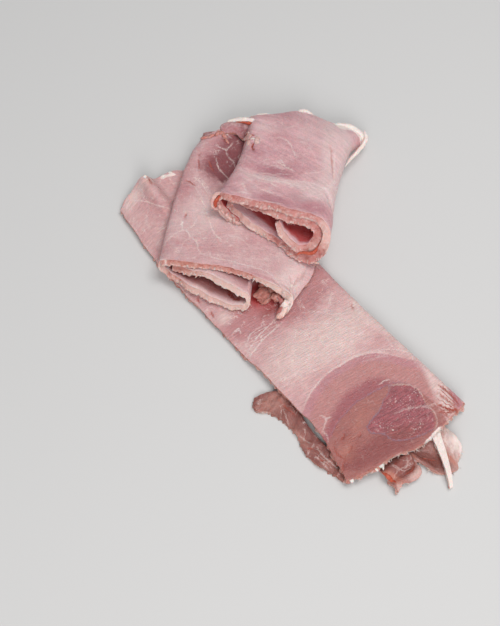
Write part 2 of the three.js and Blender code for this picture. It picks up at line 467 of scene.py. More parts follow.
def outward(grid):
    """The direction out of the slice for each grid point of its edge."""
    out = np.zeros_like(grid)
    out[:, 0] += grid[:, 0] - grid[:, 3]
    out[:, -1] += grid[:, -1] - grid[:, -4]
    out[0] += grid[0] - grid[3]
    out[-1] += grid[-1] - grid[-4]
    return unit(out)


def slab(name, sheet, thickness, seed, torn, outer=0, inner=0, slant=0.0):
    """The sheet as a closed slab. outer and inner lift its two sides; slant draws the outer edge back."""
    shell, n, k = grid_shell([count - 1 for count in sheet.s.shape])

    def per_vertex(values):
        return (values + 0 * sheet.s).reshape(-1)[n]

    def per_vertex_3d(vectors):
        return (vectors + 0 * sheet.points).reshape(-1, 3)[n]

    s, t, edge = (per_vertex(values) for values in (sheet.s, sheet.t, sheet.edge))
    normals = per_vertex_3d(sheet.normals)
    near = np.clip(ROUND - edge, 0, ROUND)
    half = thickness / 2 - ROUND + np.sqrt(ROUND**2 - near**2)
    lift = np.where(k > 0, per_vertex(outer), -per_vertex(inner))
    place = per_vertex_3d(sheet.points) + normals * (k * half + np.abs(k) * lift)[:, None]

    # The cut face is torn into fibres, and threads hang from its lower border.
    up = k * np.clip(3 * normals[:, 2], -1, 1)  # 1 on the upper border of the cut face, -1 on the lower one
    on_rim = edge < 1e-6
    fibre = 0.7 * rough(s + t, 2.5 * k, FIBRE, seed + 40)
    fibre += 0.5 * noise(s + t, 4 * k, FINE_FIBRE, seed + 41)
    threads = np.clip(noise(s + t, 0 * k, THREAD, seed + 42), 0, 1) * smoothstep(-up, -0.3, 0.7)
    place += per_vertex_3d(outward(sheet.points)) * (on_rim * torn * (fibre - 0.3 + 2.2 * threads))[:, None]
    place[:, 2] -= on_rim * torn * 0.9 * threads
    if slant:
        ahead = per_vertex_3d(unit(sheet.points[:, :1] - sheet.points[:, 3:4]))
        drawn = 1 - smoothstep(t - sheet.t.min(), 0, SLANTED)
        drawn = drawn * slant * (1 + 0.45 * rough(s, 0 * s, 6, seed))
        place -= ahead * (drawn * (0.2 + 0.8 * up))[:, None]
    place[:, 2] = np.maximum(place[:, 2], 0)
    put(shell.verts, place)
    turn_outward(shell)
    piece = add_piece(mesh_of(name, shell), s, t)
    keep(piece, "rim", np.where(on_rim, 1, np.clip(1 - edge / PAINTED_RIM, 0, 1)))
    keep(piece, "across", up)
    return piece, n, k


print("rows of faces on a cut face:", RIM_ROWS + 1)

# %% [markdown]
# ## Lines and patches on the flat slice
# Cooked ham shows its muscles: thin white seams of fat and sinew, darker and paler patches, and small
# tears. They could be painted by hand. Here each one is a short list of points on the flat slice: s is the
# distance in mm from its last edge and t from its front edge. Every vertex keeps the arrow to the nearest
# line, and the material draws the line where the arrow is short, so a seam stays thin and sharp between
# the vertices.

# %% Lines and patches
LINE_STEP = 0.4
LINE_REACH = 8  # a line is looked for within this distance
FAR = 9  # the distance that is kept where no line is near
GROOVE_DEPTH = 0.55
GROOVE_WIDTH = 0.7
OUTLINE_STEPS = 240
BAND_REACH = -20, 60  # the distances to an outline that make a difference
# The darker patches are darker meat and, in places, painted shade; the paler ones are paler meat and, in
# places, painted light.
PATCHES = "rosy", "pale", "deep", "tan", "fatty"


def lines_on(sheet, lines):
    """The arrow to the nearest line and its strength, for each grid point. Lines are (strength, points)."""
    spots = np.stack([sheet.s.ravel(), sheet.t.ravel()], -1)
    best = np.full(len(spots), np.inf)
    arrow = np.zeros((len(spots), 2))
    strength = np.zeros(len(spots))
    for weight, points in lines:
        points = np.array(points, float)
        length = np.linalg.norm(np.diff(points, axis=0), axis=-1).sum()
        along = np.linspace(0, 1, int(length / LINE_STEP) + 4)
        curve = smooth_curve(points, along)
        fade = weight * (0.35 + 0.65 * np.sin(math.pi * along) ** 0.5)
        low, high = curve.min(0) - LINE_REACH, curve.max(0) + LINE_REACH
        close = np.flatnonzero(((spots > low) & (spots < high)).all(1))
        offset = curve[None] - spots[close][:, None]
        gap = np.linalg.norm(offset, axis=-1)
        nearest = gap.argmin(1)
        gap = gap[np.arange(len(close)), nearest]
        better = gap < best[close]
        which, nearest = close[better], nearest[better]
        best[which] = gap[better]
        arrow[which] = offset[better, nearest]
        strength[which] = fade[nearest]
    arrow = np.where(np.isinf(best)[:, None], FAR, arrow)
    return np.stack([arrow[:, 0], arrow[:, 1], np.minimum(best, FAR)], -1), strength


def grooves(sheet, lines):
    """How far the creases and tears cut into the surface, in mm."""
    arrow, strength = lines_on(sheet, lines)
    profile = np.exp(-((arrow[:, 2] / GROOVE_WIDTH) ** 2))
    return (GROOVE_DEPTH * strength * profile).reshape(sheet.s.shape)


def oval(sheet, strength, s, t, wide, high, tilt=0):
    """A soft oval patch: its middle, its half width along s and height along t, and its tilt in degrees."""
    turned = math.radians(tilt)
    x, y = sheet.s - s, sheet.t - t
    a = x * math.cos(turned) + y * math.sin(turned)
    b = y * math.cos(turned) - x * math.sin(turned)
    return strength * np.exp(-((a / wide) ** 2 + (b / high) ** 2))


def patches_on(sheet, patches):
    """The sum of the ovals at each grid point."""
    return sum((oval(sheet, *patch) for patch in patches), 0 * sheet.s).ravel()


def inside(sheet, outline):
    """Distance to a closed outline on the flat slice, above 0 inside it."""
    curve = smooth_curve([*outline, outline[0]], np.linspace(0, 1, OUTLINE_STEPS))[:-1]
    spots = np.stack([sheet.s.ravel(), sheet.t.ravel()], -1)
    distance = np.full(len(spots), np.inf)
    odd = np.zeros(len(spots), bool)
    for a, b in zip(curve, np.roll(curve, -1, 0)):
        edge = b - a
        share = np.clip(((spots - a) @ edge) / (edge @ edge), 0, 1)
        distance = np.minimum(distance, np.linalg.norm(spots - a - share[:, None] * edge, axis=-1))
        crosses = (a[1] > spots[:, 1]) != (b[1] > spots[:, 1])
        rise = b[1] - a[1] if abs(b[1] - a[1]) > 1e-9 else 1e-9
        odd ^= crosses & (spots[:, 0] < a[0] + (spots[:, 1] - a[1]) / rise * (b[0] - a[0]))
    return np.clip(np.where(odd, distance, -distance), *BAND_REACH)


def shade_in_roll(sheet, n, k, shown_from, start=1, reach=3):
    """1 where shade is painted in the roll: the inner side, and the outer side before u = shown_from.

    It rises from 0 to 1 over `reach` mm, which begin `start` mm from the two open ends."""
    ends = np.minimum(sheet.t, sheet.t.max() - sheet.t).reshape(-1)[n]
    inner = np.where(sheet.u.reshape(-1)[n] < shown_from, 1, smoothstep(-k, 0, 1))
    return inner * smoothstep(ends - start, 0, reach)


def draw_on(piece, n, sheet, veins=(), seams=(), cracks=(), hollow=0, **patches):
    """Keeps the lines and patches for the material, and where shade is painted in folds, rolls and under
    lumps.
    """
    for name, lines in (("vein", veins), ("seam", seams), ("crack", cracks)):
        arrow, strength = lines_on(sheet, lines)
        keep(piece, name, arrow[n])
        keep(piece, name + "_strength", strength[n])
    for name in PATCHES:
        keep(piece, name, patches_on(sheet, patches.get(name, []))[n])
    keep(piece, "hollow", hollow + 0.0 * n)


print("kinds of patch:", PATCHES)

# %% [markdown]
# ## Ham as a material
# Cooked ham is pink meat with a wet cut face. Light sinks in a millimetre or two, so the material has
# some subsurface scattering. Three effects are shared by all the pieces, and each is a node group:
# marbling (fine white threads of fat), fibres (the grain of the muscle) and moisture (patches of gloss).

# %% Node helpers
HALF = (0.5, 0.5, 0.5)  # the middle of a noise colour


def colour(red, green, blue):
    """A colour as a screen shows it, 0 to 255, for a node."""
    shown = [value / 255 for value in (red, green, blue)]
    linear = [value / 12.92 if value < 0.0404 else ((value + 0.055) / 1.055) ** 2.4 for value in shown]
    return (*linear, 1)


def node(tree, kind, inputs=(), **settings):
    """A new node. Its inputs are numbers, or sockets of other nodes to link to."""
    made = tree.nodes.new("ShaderNode" + kind)
    for key, value in settings.items():
        setattr(made, key, value)
    for key, value in dict(inputs).items():
        if isinstance(value, bpy.types.NodeSocket):
            tree.links.new(value, made.inputs[key])
        else:
            made.inputs[key].default_value = value
    return made


def maths(tree, operation, a, b=0.5, c=0.5):
    return node(tree, "Math", {0: a, 1: b, 2: c}, operation=operation).outputs[0]


def times(tree, a, b):
    return maths(tree, "MULTIPLY", a, b)


def with_more(tree, base, extra, share):
    """base + extra * share"""
    return maths(tree, "MULTIPLY_ADD", extra, share, base)


def vectors(tree, operation, a, b):
    return node(tree, "VectorMath", {0: a, 1: b}, operation=operation).outputs[0]


def scaled(tree, vector, by):
    return node(tree, "VectorMath", {0: vector, "Scale": by}, operation="SCALE").outputs[0]


def ranged(tree, value, low, high, to_low=0, to_high=1):
    """A smooth step from to_low, where the value is low, to to_high, where it is high."""
    inputs = {"Value": value, "From Min": low, "From Max": high, "To Min": to_low, "To Max": to_high}
    return node(tree, "MapRange", inputs, interpolation_type="SMOOTHSTEP").outputs["Result"]


def mixed(tree, share, a, b, blend="MIX"):
    return node(tree, "Mix", {0: share, 6: a, 7: b}, data_type="RGBA", blend_type=blend).outputs[2]


def noisy(tree, vector, scale, detail=2.0, roughness=0.5, out="Fac"):
    inputs = {"Vector": vector, "Scale": scale, "Detail": detail, "Roughness": roughness}
    return node(tree, "TexNoise", inputs).outputs[out]


def new_group(name, inputs, outputs):
    """A node group whose sockets are floats, or vectors where the default has three numbers."""
    tree = bpy.data.node_groups.new(name, "ShaderNodeTree")
    for label, default in inputs.items():
        kind = "NodeSocketFloat" if isinstance(default, (int, float)) else "NodeSocketVector"
        tree.interface.new_socket(label, in_out="INPUT", socket_type=kind).default_value = default
    for label in outputs:
        tree.interface.new_socket(label, in_out="OUTPUT", socket_type="NodeSocketFloat")
    return tree, tree.nodes.new("NodeGroupInput").outputs, tree.nodes.new("NodeGroupOutput").inputs


def grouped(tree, group, **inputs):
    return node(tree, "Group", inputs, node_tree=group).outputs


print("middle grey in a node:", round(colour(128, 128, 128)[0], 3))

# %% Marbling: fine white threads of fat
tree, given, result = new_group(
    "marbling", {"Vector": (0, 0, 0), "Size": 12.0, "Width": 0.05, "Cover": 0.5}, ["Mask"]
)
marbling = tree
place = scaled(tree, given["Vector"], maths(tree, "DIVIDE", 1, given["Size"]))
wander = vectors(tree, "SUBTRACT", noisy(tree, place, 1.3, 3, out="Color"), HALF)
moved = vectors(tree, "ADD", place, scaled(tree, wander, 1.1))
cells = node(tree, "TexVoronoi", {"Vector": moved, "Scale": 1.0}, feature="DISTANCE_TO_EDGE")
thread = ranged(tree, cells.outputs["Distance"], 0, given["Width"], 1, 0)
edge_of_chance = maths(tree, "ADD", given["Cover"], 0.12)
there = ranged(tree, noisy(tree, place, 0.9), given["Cover"], edge_of_chance)
tree.links.new(times(tree, thread, there), result["Mask"])
print("marbling:", len(marbling.nodes), "nodes")

# %% Fibres: the grain of the muscle
tree, given, result = new_group(
    "fibres", {"Vector": (0, 0, 0), "Angle": 0.0, "Width": 1.2, "Stretch": 8.0}, ["Value"]
)
fibres = tree
turned = node(tree, "VectorRotate", {0: given["Vector"], "Angle": given["Angle"]}, rotation_type="Z_AXIS")
across = maths(tree, "DIVIDE", 1, given["Width"])
along = maths(tree, "DIVIDE", across, given["Stretch"])
ratio = node(tree, "CombineXYZ", {"X": along, "Y": across, "Z": across}).outputs[0]
drawn = vectors(tree, "MULTIPLY", turned.outputs[0], ratio)
tree.links.new(noisy(tree, drawn, 1.0, 3, 0.6), result["Value"])
print("fibres:", len(fibres.nodes), "nodes")

# %% Moisture: patches of gloss
tree, given, result = new_group("moisture", {"Vector": (0, 0, 0)}, ["Roughness", "Height"])
moisture = tree
pools = noisy(tree, given["Vector"], 0.16)
beads = noisy(tree, given["Vector"], 1.5)
both = with_more(tree, pools, beads, 0.35)
tree.links.new(ranged(tree, both, 0.5, 0.9, 0.24, 0.48), result["Roughness"])
tree.links.new(times(tree, beads, 0.6), result["Height"])
print("moisture:", len(moisture.nodes), "nodes")

# %% Paint, lines and cut faces
FAT = (238, 220, 214)
HOLLOW_SHADE_RED = (168, 36, 34)
TAN = (190, 124, 108)
SEAM = (150, 112, 124)
TORN_OPEN = (176, 80, 62)
LINE_WIDTHS = {"seam": 0.7, "vein": 0.8, "crack": 0.95}  # in mm


def kept(tree, key, out="Fac"):
    """What the piece keeps for each vertex under that name."""
    return node(tree, "Attribute", attribute_name=key).outputs[out]


def painted(tree, paint, layers):
    """The paint under layers of (value, low, high, share, tint): each tint shows up to its share."""
    for value, low, high, share, tint in layers:
        paint = mixed(tree, ranged(tree, value, low, high, 0, share), paint, colour(*tint))
    return paint


def line(tree, key, width, shake, specks):
    """Where the line of that name runs: 1 on it and 0 beside it."""
    arrow = vectors(tree, "ADD", kept(tree, key, "Vector"), shake)
    x, y, distance = node(tree, "SeparateXYZ", {0: arrow}).outputs
    level = node(tree, "CombineXYZ", {"X": x, "Y": y}).outputs[0]
    gap = node(tree, "VectorMath", {0: level}, operation="LENGTH").outputs["Value"]
    on_line = ranged(tree, gap, 0.1 * width, width, 1, 0)
    close = ranged(tree, distance, 2.2, 3.2, 1, 0)
    strength = times(tree, kept(tree, key + "_strength"), ranged(tree, specks, 0.35, 0.58, 0.4, 1))
    return times(tree, times(tree, on_line, close), strength)


def cut_paint(tree, cut, block, large, small):
    """The cut face: tan above, and a ragged whitish fringe of fibre ends below."""
    ends = noisy(tree, block, 0.42, 3, 0.6)
    paint = painted(tree, colour(*cut), [
        (large, 0.42, 0.62, 0.5, (220, 172, 160)),
        (ends, 0.48, 0.36, 0.8, (166, 84, 72)),
        (kept(tree, "pale"), 0.3, 1, 0.8, (226, 192, 182)),
        (kept(tree, "tan"), 0.3, 1, 0.8, (184, 110, 92)),
        (ends, 0.54, 0.68, 0.3, FAT),
    ])
    level = with_more(tree, kept(tree, "across"), maths(tree, "SUBTRACT", ends, 0.5), 2.6)
    fringe = times(tree, ranged(tree, level, -0.2, -0.9), ranged(tree, small, 0.4, 0.6, 0.1, 0.75))
    return mixed(tree, fringe, paint, colour(234, 210, 202))


print("widths of the lines in mm:", LINE_WIDTHS)

# %% The ham material
def ham(name, flesh, rosy, pale, deep, cut=(206, 150, 138), depth=HOLLOW_SHADE_RED, grain=0.1, grain_width=1.1,
        grain_turn=0.35, cover=0.5, veins=0.4, bands=(), plain=None, grained=None):
    """Ham in the given colours; depth is the dark red of the painted shade in folds and rolls. Marbling is
    rarer with more cover and stronger with more veins.

    bands are (value name, low, high, share, colour) laid over the flesh. plain names the value inside which
    there is little marbling, and grained the one inside which the grain is strongest, with white flecks."""
    material = bpy.data.materials.new(name)
    material.use_nodes = True
    tree = material.node_tree
    tree.nodes.clear()
    flat = scaled(tree, node(tree, "UVMap", uv_map="flat").outputs["UV"], FLAT)
    block = scaled(tree, node(tree, "TexCoord").outputs["Object"], 1 / MM)
    large, small = noisy(tree, flat, 0.055, 3), noisy(tree, flat, 0.45, 4, 0.6)
    specks = noisy(tree, block, 1.3, 3, 0.7)
    wobble = maths(tree, "SUBTRACT", small, 0.5)

    # Large soft differences between pale and rosy meat, then the bands and patches in their places. Some
    # patches are painted shade, and some painted light.
    both = with_more(tree, large, wobble, 0.6)
    layers = [(both, 0.47, 0.7, 0.4, rosy), (both, 0.5, 0.3, 0.45, pale)]
    layers += [(with_more(tree, kept(tree, key), wobble, 2.2), *band) for key, *band in bands]
    for key, tint in (("rosy", rosy), ("pale", pale), ("deep", deep), ("tan", TAN)):
        layers.append((with_more(tree, kept(tree, key), wobble, 0.6), 0.1, 1.0, 0.9, tint))
    paint = painted(tree, colour(*flesh), layers)

    # The grain of the muscle, lighter and darker in turn, and fine specks of wet meat.
    streaks = grouped(tree, fibres, Vector=flat, Angle=grain_turn, Width=grain_width, Stretch=7.0)["Value"]
    share = ranged(tree, kept(tree, grained), -1.5, 1.5, 0.35, 1) if grained else 1.0
    for uneven, strength in ((streaks, grain), (specks, 0.08)):
        level = ranged(tree, uneven, 0.3, 0.7, 1 - strength, 1 + strength)
        paint = mixed(tree, share, paint, level, "MULTIPLY")
    if grained:
        in_places = ranged(tree, noisy(tree, flat, 0.11), 0.42, 0.58, 0.15, 1)
        in_places = times(tree, in_places, ranged(tree, kept(tree, grained), 0, 2, 0, 0.6))
        flecks = ranged(tree, noisy(tree, block, 1.0, 2, 0.6), 0.6, 0.68)
        paint = mixed(tree, times(tree, flecks, in_places), paint, colour(*FAT))

    # White threads, and the lines in their places, which noise shakes a little.
    threads = grouped(tree, marbling, Vector=flat, Size=5.5, Width=0.05, Cover=cover)["Mask"]
    threads = times(tree, threads, veins)
    if plain:
        threads = times(tree, threads, ranged(tree, kept(tree, plain), 0, 2, 1, 0.3))
    shake = vectors(tree, "SUBTRACT", noisy(tree, flat, 0.55, 4, 0.65, "Color"), HALF)
    shake = vectors(tree, "MULTIPLY", shake, (2.6, 2.6, 0))
    seam, vein, crack = (line(tree, key, width, shake, specks) for key, width in LINE_WIDTHS.items())
    for mask, tint in ((threads, FAT), (seam, SEAM), (vein, FAT), (crack, TORN_OPEN)):
        paint = mixed(tree, mask, paint, colour(*tint))

    # Painted shade: in folds and rolls, where light goes from meat to meat, the meat is painted dark red.
    # Fat is white on cut faces too.
    paint = mixed(tree, times(tree, kept(tree, "hollow"), 0.88), paint, colour(*depth))
    on_rim = ranged(tree, kept(tree, "rim"), 0.3, 0.9, 0, 0.9)
    paint = mixed(tree, on_rim, paint, cut_paint(tree, cut, block, large, small))
    fatty = with_more(tree, kept(tree, "fatty"), wobble, 0.9)
    paint = painted(tree, paint, [(fatty, 0.35, 0.75, 1, FAT)])

    # Gloss and relief: the grain stands out, and seams and cracks lie a little deeper.
    wet = grouped(tree, moisture, Vector=flat)
    height = wet["Height"]
    for uneven, share in ((streaks, 3 * grain), (specks, 0.9), (vein, 0.35), (seam, -0.4), (crack, -1.2)):
        height = with_more(tree, height, uneven, share)
    relief = node(tree, "Bump", {"Height": height, "Strength": 0.7, "Distance": 0.0005})
    shader = node(tree, "BsdfPrincipled", {
        "Base Color": paint,
        "Roughness": wet["Roughness"],
        "Subsurface Weight": 0.45,
        "Subsurface Radius": (1.0, 0.35, 0.25),
        "Subsurface Scale": 0.0018,
        "Specular IOR Level": 0.4,
        "Normal": relief.outputs[0],
    })
    node(tree, "OutputMaterial", {"Surface": shader.outputs[0]}).is_active_output = True
    print(name, "has", len(tree.nodes), "nodes")
    return material


print("shared effects:", [group.name for group in bpy.data.node_groups])

# %% The table's material
pale_table = bpy.data.materials.new("pale_table")
pale_table.use_nodes = True
finish = pale_table.node_tree.nodes["Principled BSDF"].inputs
finish["Base Color"].default_value = (0.62, 0.61, 0.6, 1)
finish["Roughness"].default_value = 0.7
floor.data.materials.append(pale_table)
print("the table is", pale_table.name)

# %% [markdown]
# ## The base slice
# The lowest large slice is folded in half lengthwise, with the fold on the right. Its front half shows the
# round end of a muscle: a white seam runs over it in an arc, darker bands follow inside it, and a
# teardrop-shaped muscle with its own grain lies in the middle.

# %% Base slice: its surface
FREE_EDGES = 13  # width of the two layers beside the free edges, where they close in on each other
FOLD = 3.5  # how far the layers end before the right side, where the fold turns


def base_station(along, left, right, puff, ends=(0, 0, 0)):
    """The two layers of the base slice at one place. The lower one is shorter, so only the upper one's
    edge shows. ends move the upper layer's left, middle and right points along the slice."""
    under = lerp(9, BASE_LENGTH - 8, along / BASE_LENGTH)
    at_left, at_middle, at_right = (along + end for end in ends)
    high = LIE + LAYER
    lower = [
        [left + FREE_EDGES, under, LIE],
        [lerp(left, right, 0.5), under, LIE],
        [right - FOLD, at_right, LIE],
    ]
    upper = [
        [right - FOLD, at_right, high + puff],
        [lerp(left, right, 0.6), at_middle, high],
        [lerp(left, right, 0.32), at_left, high],
        [left + FREE_EDGES, at_left, high],
        [left, along, LIE + 0.8],
    ]
    return [lower, upper]


def base_ground(point, u):
    """The base slice lies on the thin slice in front, and its upper layer has pleats at the rear."""
    across, along = BASE.across(point), BASE.along(point)
    pleats = (7.4 * bump(across, 20.5, 4) + 1.2 * bump(across, 17, 9)) * smoothstep(along, 180, BASE_LENGTH)
    pleats = pleats + 3.0 * bump(across, 38, 6) * smoothstep(along, 200, BASE_LENGTH)
    return ON_THIN * (1 - smoothstep(along, 64, 102)) + smoothstep(u, 0.5, 0.56) * pleats


base_stations = [
    base_station(-1, 0, BASE_WIDTH + 0.6, 1, (-4, -8, -4)),
    base_station(28, 5.5, BASE_WIDTH - 3, 1.2),
    base_station(66, 3.4, BASE_WIDTH - 6.5, 1),
    base_station(120, -1.2, BASE_WIDTH - 8.5, 0.8),
    base_station(170, -4.3, BASE_WIDTH - 8.5, 0.8),
    base_station(BASE_LENGTH, -1.8, BASE_WIDTH - 9.5, 0.8, (6, 0, -9)),
]
base_sheet = Sheet(folded(BASE, base_stations, 0.012, base_ground), (0.95, 1.25), seed=11, torn=0.7)
print("base sheet:", base_sheet.s.shape, "points,", round(base_sheet.t.max()), "mm long")

# %% Base slice: its muscles and cracks
arc = [(4.6, 51.5), (9.3, 53.9), (16.2, 56.7), (23.1, 58.2), (30.1, 59.1), (36.7, 58.6), (43.6, 58.2),
       (49.1, 56.2), (53.9, 53.9), (58.1, 50.6), (60.9, 46.9), (64.1, 42.3)]
second_arc = [(5.6, 29.4), (11.6, 32.4), (16.7, 34.2), (22.3, 35.1), (27.2, 36), (34, 36), (39.8, 35.5),
              (44.8, 34.6), (50, 33.3), (54.9, 30.6), (58.8, 26.5)]
drop_seam = [(49.1, 32.8), (45.2, 30.6), (39.8, 28.6), (34.9, 25.6), (30.5, 24), (26.3, 22.4), (24.3, 21.1),
             (24.1, 18.7), (25.9, 16.2), (31.3, 13.4), (31.6, 11.8), (33.6, 8.9), (37.9, 6.9), (45.2, 5.3),
             (52.3, 3.7), (57.2, 2.9)]
drop_rim = [(59.9, 15.4), (60.4, 18.3), (60.2, 22.8), (57.8, 26.9), (53.4, 30.2), (49.1, 32.8)]
corner_cracks = [
    (1.6, [(65.6, 11), (69.3, 6), (72, 3), (75, 0.5)]),
    (1.3, [(72, 17.5), (75.3, 10.5), (77.5, 2)]),
    (1.1, [(64.5, 7.3), (68, 4.4), (71.7, 2.4)]),
    (0.8, [(66.3, 5), (67.6, 3), (68.2, 0.6)]),
    (0.9, [(69, 15), (72.5, 8), (74.5, 3)]),
    (0.9, [(8.8, 23.2), (11.3, 25.2)]),
    (0.8, [(17.4, 19.5), (19.3, 20.3)]),
    (0.7, [(3.1, 22.8), (2.9, 19.1), (3.9, 15.8), (5.7, 13.4)]),
    (0.7, [(4.7, 12.6), (2.9, 9.7), (1.8, 6.9)]),
    (0.5, [(6.9, 14.6), (10.2, 16.2), (11.6, 17.9)]),
    (0.6, [(67, 85.5), (64.9, 81.5)]),
    (0.9, [(4.5, 142.3), (2.9, 138.6)]),
    (0.9, [(4.3, 130.6), (3.2, 125.6)]),
    (0.9, [(29.9, 225.3), (28.3, 219.3)]),
]
print(len(corner_cracks), "cracks")

# %% Base slice: slab and marks
s, t = base_sheet.s, base_sheet.t
waves = 0.22 * noise(s, t, 16, 3) + 0.12 * noise(s, t, 5, 4) - grooves(base_sheet, corner_cracks)
base_slice, n, k = slab("base_slice_meat", base_sheet, SLICE, outer=waves, seed=11, torn=0.6, slant=0.3)
# Painted shade: the meat is darker where a lump of the middle slice hangs over it.
shade_under_lump = np.clip(oval(base_sheet, 1.5, 35, 122, 13, 9), 0, 1).ravel()[n]
draw_on(
    base_slice, n, base_sheet,
    hollow=shade_in_roll(base_sheet, n, k, 0) + shade_under_lump,
    veins=[
        (0.6, arc),
        (0.45, [(43.9, 58.6), (51.8, 56.2), (58.3, 52.5), (64.7, 47.8), (68, 43.7), (69.3, 40.1)]),
        (0.4, [(45.9, 52.9), (51.5, 51.1), (56.3, 48.7), (59.5, 46.9)]),
        (0.8, [(43.6, 37.3), (48.2, 36.9), (50.1, 35.5)]),
        (0.45, drop_rim),
        (0.4, [(41.7, 20.3), (47.9, 19.1), (53.4, 16.6), (58.7, 13.8), (61.4, 10.6), (61.7, 6.5),
               (59.8, 3.3), (56.6, 2.4)]),
        (0.45, [(59, 14.2), (64.5, 11.4), (67.2, 9.7)]),
        (0.6, [(7.2, 41.9), (8.3, 37.8), (5.1, 35.5), (2.3, 33.3)]),
        (0.8, [(8.6, 38.2), (11.3, 37.3)]),
        (0.6, [(2.3, 33.3), (3.5, 30.2), (2.1, 26.9)]),
        (0.5, [(65.4, 98.5), (59.3, 94.3), (52.2, 89.6)]),
        (0.45, [(41.8, 98.5), (48.5, 93.7), (53.7, 87.5), (62.1, 80.8)]),
        (0.4, [(46.8, 102.6), (45.3, 98.5)]),
        (0.4, [(22.6, 82.8), (21.3, 79.5), (20.5, 76.3), (21.6, 75)]),
        (0.9, [(29.1, 104), (20.3, 101.9), (13.8, 100.5), (4.1, 97.1)]),
        (0.8, [(30, 99.9), (18.3, 97.8), (8.6, 95.7), (2.5, 93.7)]),
        (0.7, [(19.8, 104.7), (11, 104), (5, 100.5)]),
        (0.9, [(4.7, 111.5), (9, 111.5), (8.2, 108.1)]),
        (0.7, [(11.2, 222.6), (18.4, 213.9), (22.7, 207.1), (25.9, 201.1)]),
        (0.6, [(12.1, 191.6), (16, 191.6), (19.6, 191.6)]),
        (0.5, [(6.1, 186.3), (10.2, 187)]),
    ],
    seams=[(0.9, second_arc), (1.4, drop_seam)],
    cracks=corner_cracks,
    rosy=[
        (0.6, 20, 118, 24, 10, 10), (0.7, 54, 104, 15, 8, 30), (0.5, 20, 202, 12, 8, 20),
        (0.9, 40, 116, 26, 9), (0.9, 44, 104, 26, 8, 8), (0.8, 16, 110, 14, 9), (0.4, 30, 150, 40, 25),
        (0.5, 66, 118, 12, 8),
    ],
    pale=[
        (1.2, 38, 76, 40, 15), (1.1, 73, 58, 6, 34), (0.9, 71, 16, 5, 16, -10), (1.0, 70.5, 7, 1.1, 7, -28),
        (0.9, 74, 8, 0.9, 8, -12), (0.8, 10, 222, 10, 6), (0.9, 7.8, 121.7, 6, 5), (0.7, 28, 223, 9, 4),
    ],
    # The last darker patch, under the middle slice's front corner and lump, is painted shade.
    deep=[
        (1.3, 30, 8, 22, 7, -4), (0.6, 12, 23, 6, 6), (0.3, 56, 104, 12, 6, 30), (0.7, 10, 10, 8, 5),
        (1.2, 36, 111, 13, 4, 8),
    ],
    tan=[(0.5, 8, 15, 7, 7, 20), (0.5, 22, 26, 14, 4, 25), (0.6, 29, 222, 2.5, 4)],
    fatty=[
        (1.0, 63.7, 76.9, 0.9, 0.6), (0.9, 57, 74.4, 1.0, 0.5, 30), (0.9, 64.2, 68.5, 0.8, 0.6),
        (0.8, 46.2, 25.2, 1.2, 0.5, 20), (0.8, 44, 27, 0.7, 0.4), (0.8, 48.5, 24, 0.8, 0.4, 50),
        (0.8, 38.3, 11.8, 1.2, 0.5, -20), (0.7, 36, 13.5, 0.8, 0.4), (0.7, 41, 10.6, 0.8, 0.4),
        (0.6, 33, 0.4, 4, 0.8), (0.6, 50, 0.4, 5, 0.8), (0.75, 58, 1.0, 6, 1.3), (1.0, 44, 225.3, 3, 1.6),
        (1.0, 48.9, 224, 2.5, 1.4),
    ],
)
beyond = [(60, -30), (-30, -30)]  # both bands run out over the front edge
outlines = {
    "arc": [(-30, 26), (-6, 45), *arc, (73, 30), (80, 5), (75, -30), *beyond],
    "second_arc": [(-30, 12), (-4, 24), *second_arc, (62, 19), (66, 5), *beyond],
    "drop": [*drop_seam, (60.5, 6), (61, 10.6), *drop_rim[:-1]],
}
for name, outline in outlines.items():
    keep(base_slice, name, inside(base_sheet, outline)[n])

# %% Base slice: its ham
base_ham = ham(
    "base_ham", flesh=(208, 166, 165), rosy=(186, 130, 131), pale=(222, 194, 189), deep=(146, 80, 78),
    cut=(190, 132, 120), grain=0.3, grain_width=0.85, grain_turn=0.1, cover=0.52, veins=0.55,
    bands=[
        ("arc", 0.0, 1.2, 1.0, (190, 134, 138)),
        ("arc", 3.5, 6.5, 0.7, (188, 132, 126)),
        ("arc", 13.0, 18.0, 1.0, (164, 98, 102)),
        ("second_arc", 0.0, 0.8, 1.0, (168, 107, 101)),
        ("drop", 0.0, 0.8, 1.0, (156, 86, 92)),
    ],
    plain="arc", grained="drop",
)
finish_piece(base_slice, base_ham, "base_slice")

# %% [markdown]
# ## The middle slice
# The middle slice lies across the base slice, folded to three layers at its front and sagging to the table
# behind. It is the palest of the three. At the rear, darker muscles with branching white veins show.

# %% Middle slice: its surface
# The layers of each station, from the innermost one out: points of (across, along, height).
middle_stations = [
    [
        [[2, 1, 5], [24, 1, 7.8], [47.5, -4.6, 7.2]],
        [[47, -12, LIE], [25, -8.8, LIE], [3, -1.6, LIE + 0.3]],
        [[-1.5, 2.5, 8.4], [30, 6.5, 10.8], [60, 4.5, 9.8], [74, 0, 6], [71, -6, 2.4]],
    ],
    [
        [[2, 30, 4.8], [24, 30, 6], [43, 30, 5.6]],
        [[43, 30, LIE], [24, 30, LIE], [-2, 30, LIE]],
        [[-5, 30, 7.9], [20, 30, 9.3], [46, 30, 8.7], [66, 28, 5.8], [82, 25, 2.4]],
    ],
    [
        [[2, 75, 4.7], [20, 74, 4.8], [38, 74, 5.3]],
        [[37, 74, LIE], [20, 75, LIE], [-6, 78, LIE]],
        [[-7.5, 78, 8], [16, 76, 8], [40, 74, 8.3], [58, 72, 4.2], [72, 70, 1.8]],
    ],
    [
        [[6, 98, 5], [20, 100, 5], [37, 102, 5.6]],
        [[36, 103, LIE], [20, 107, LIE], [-5, 105, LIE]],
        [[-4, 100, 8.2], [12, 116, 8.2], [38, 118, 8.6], [56, 112, 4.2], [70, 106, 1.8]],
    ],
]


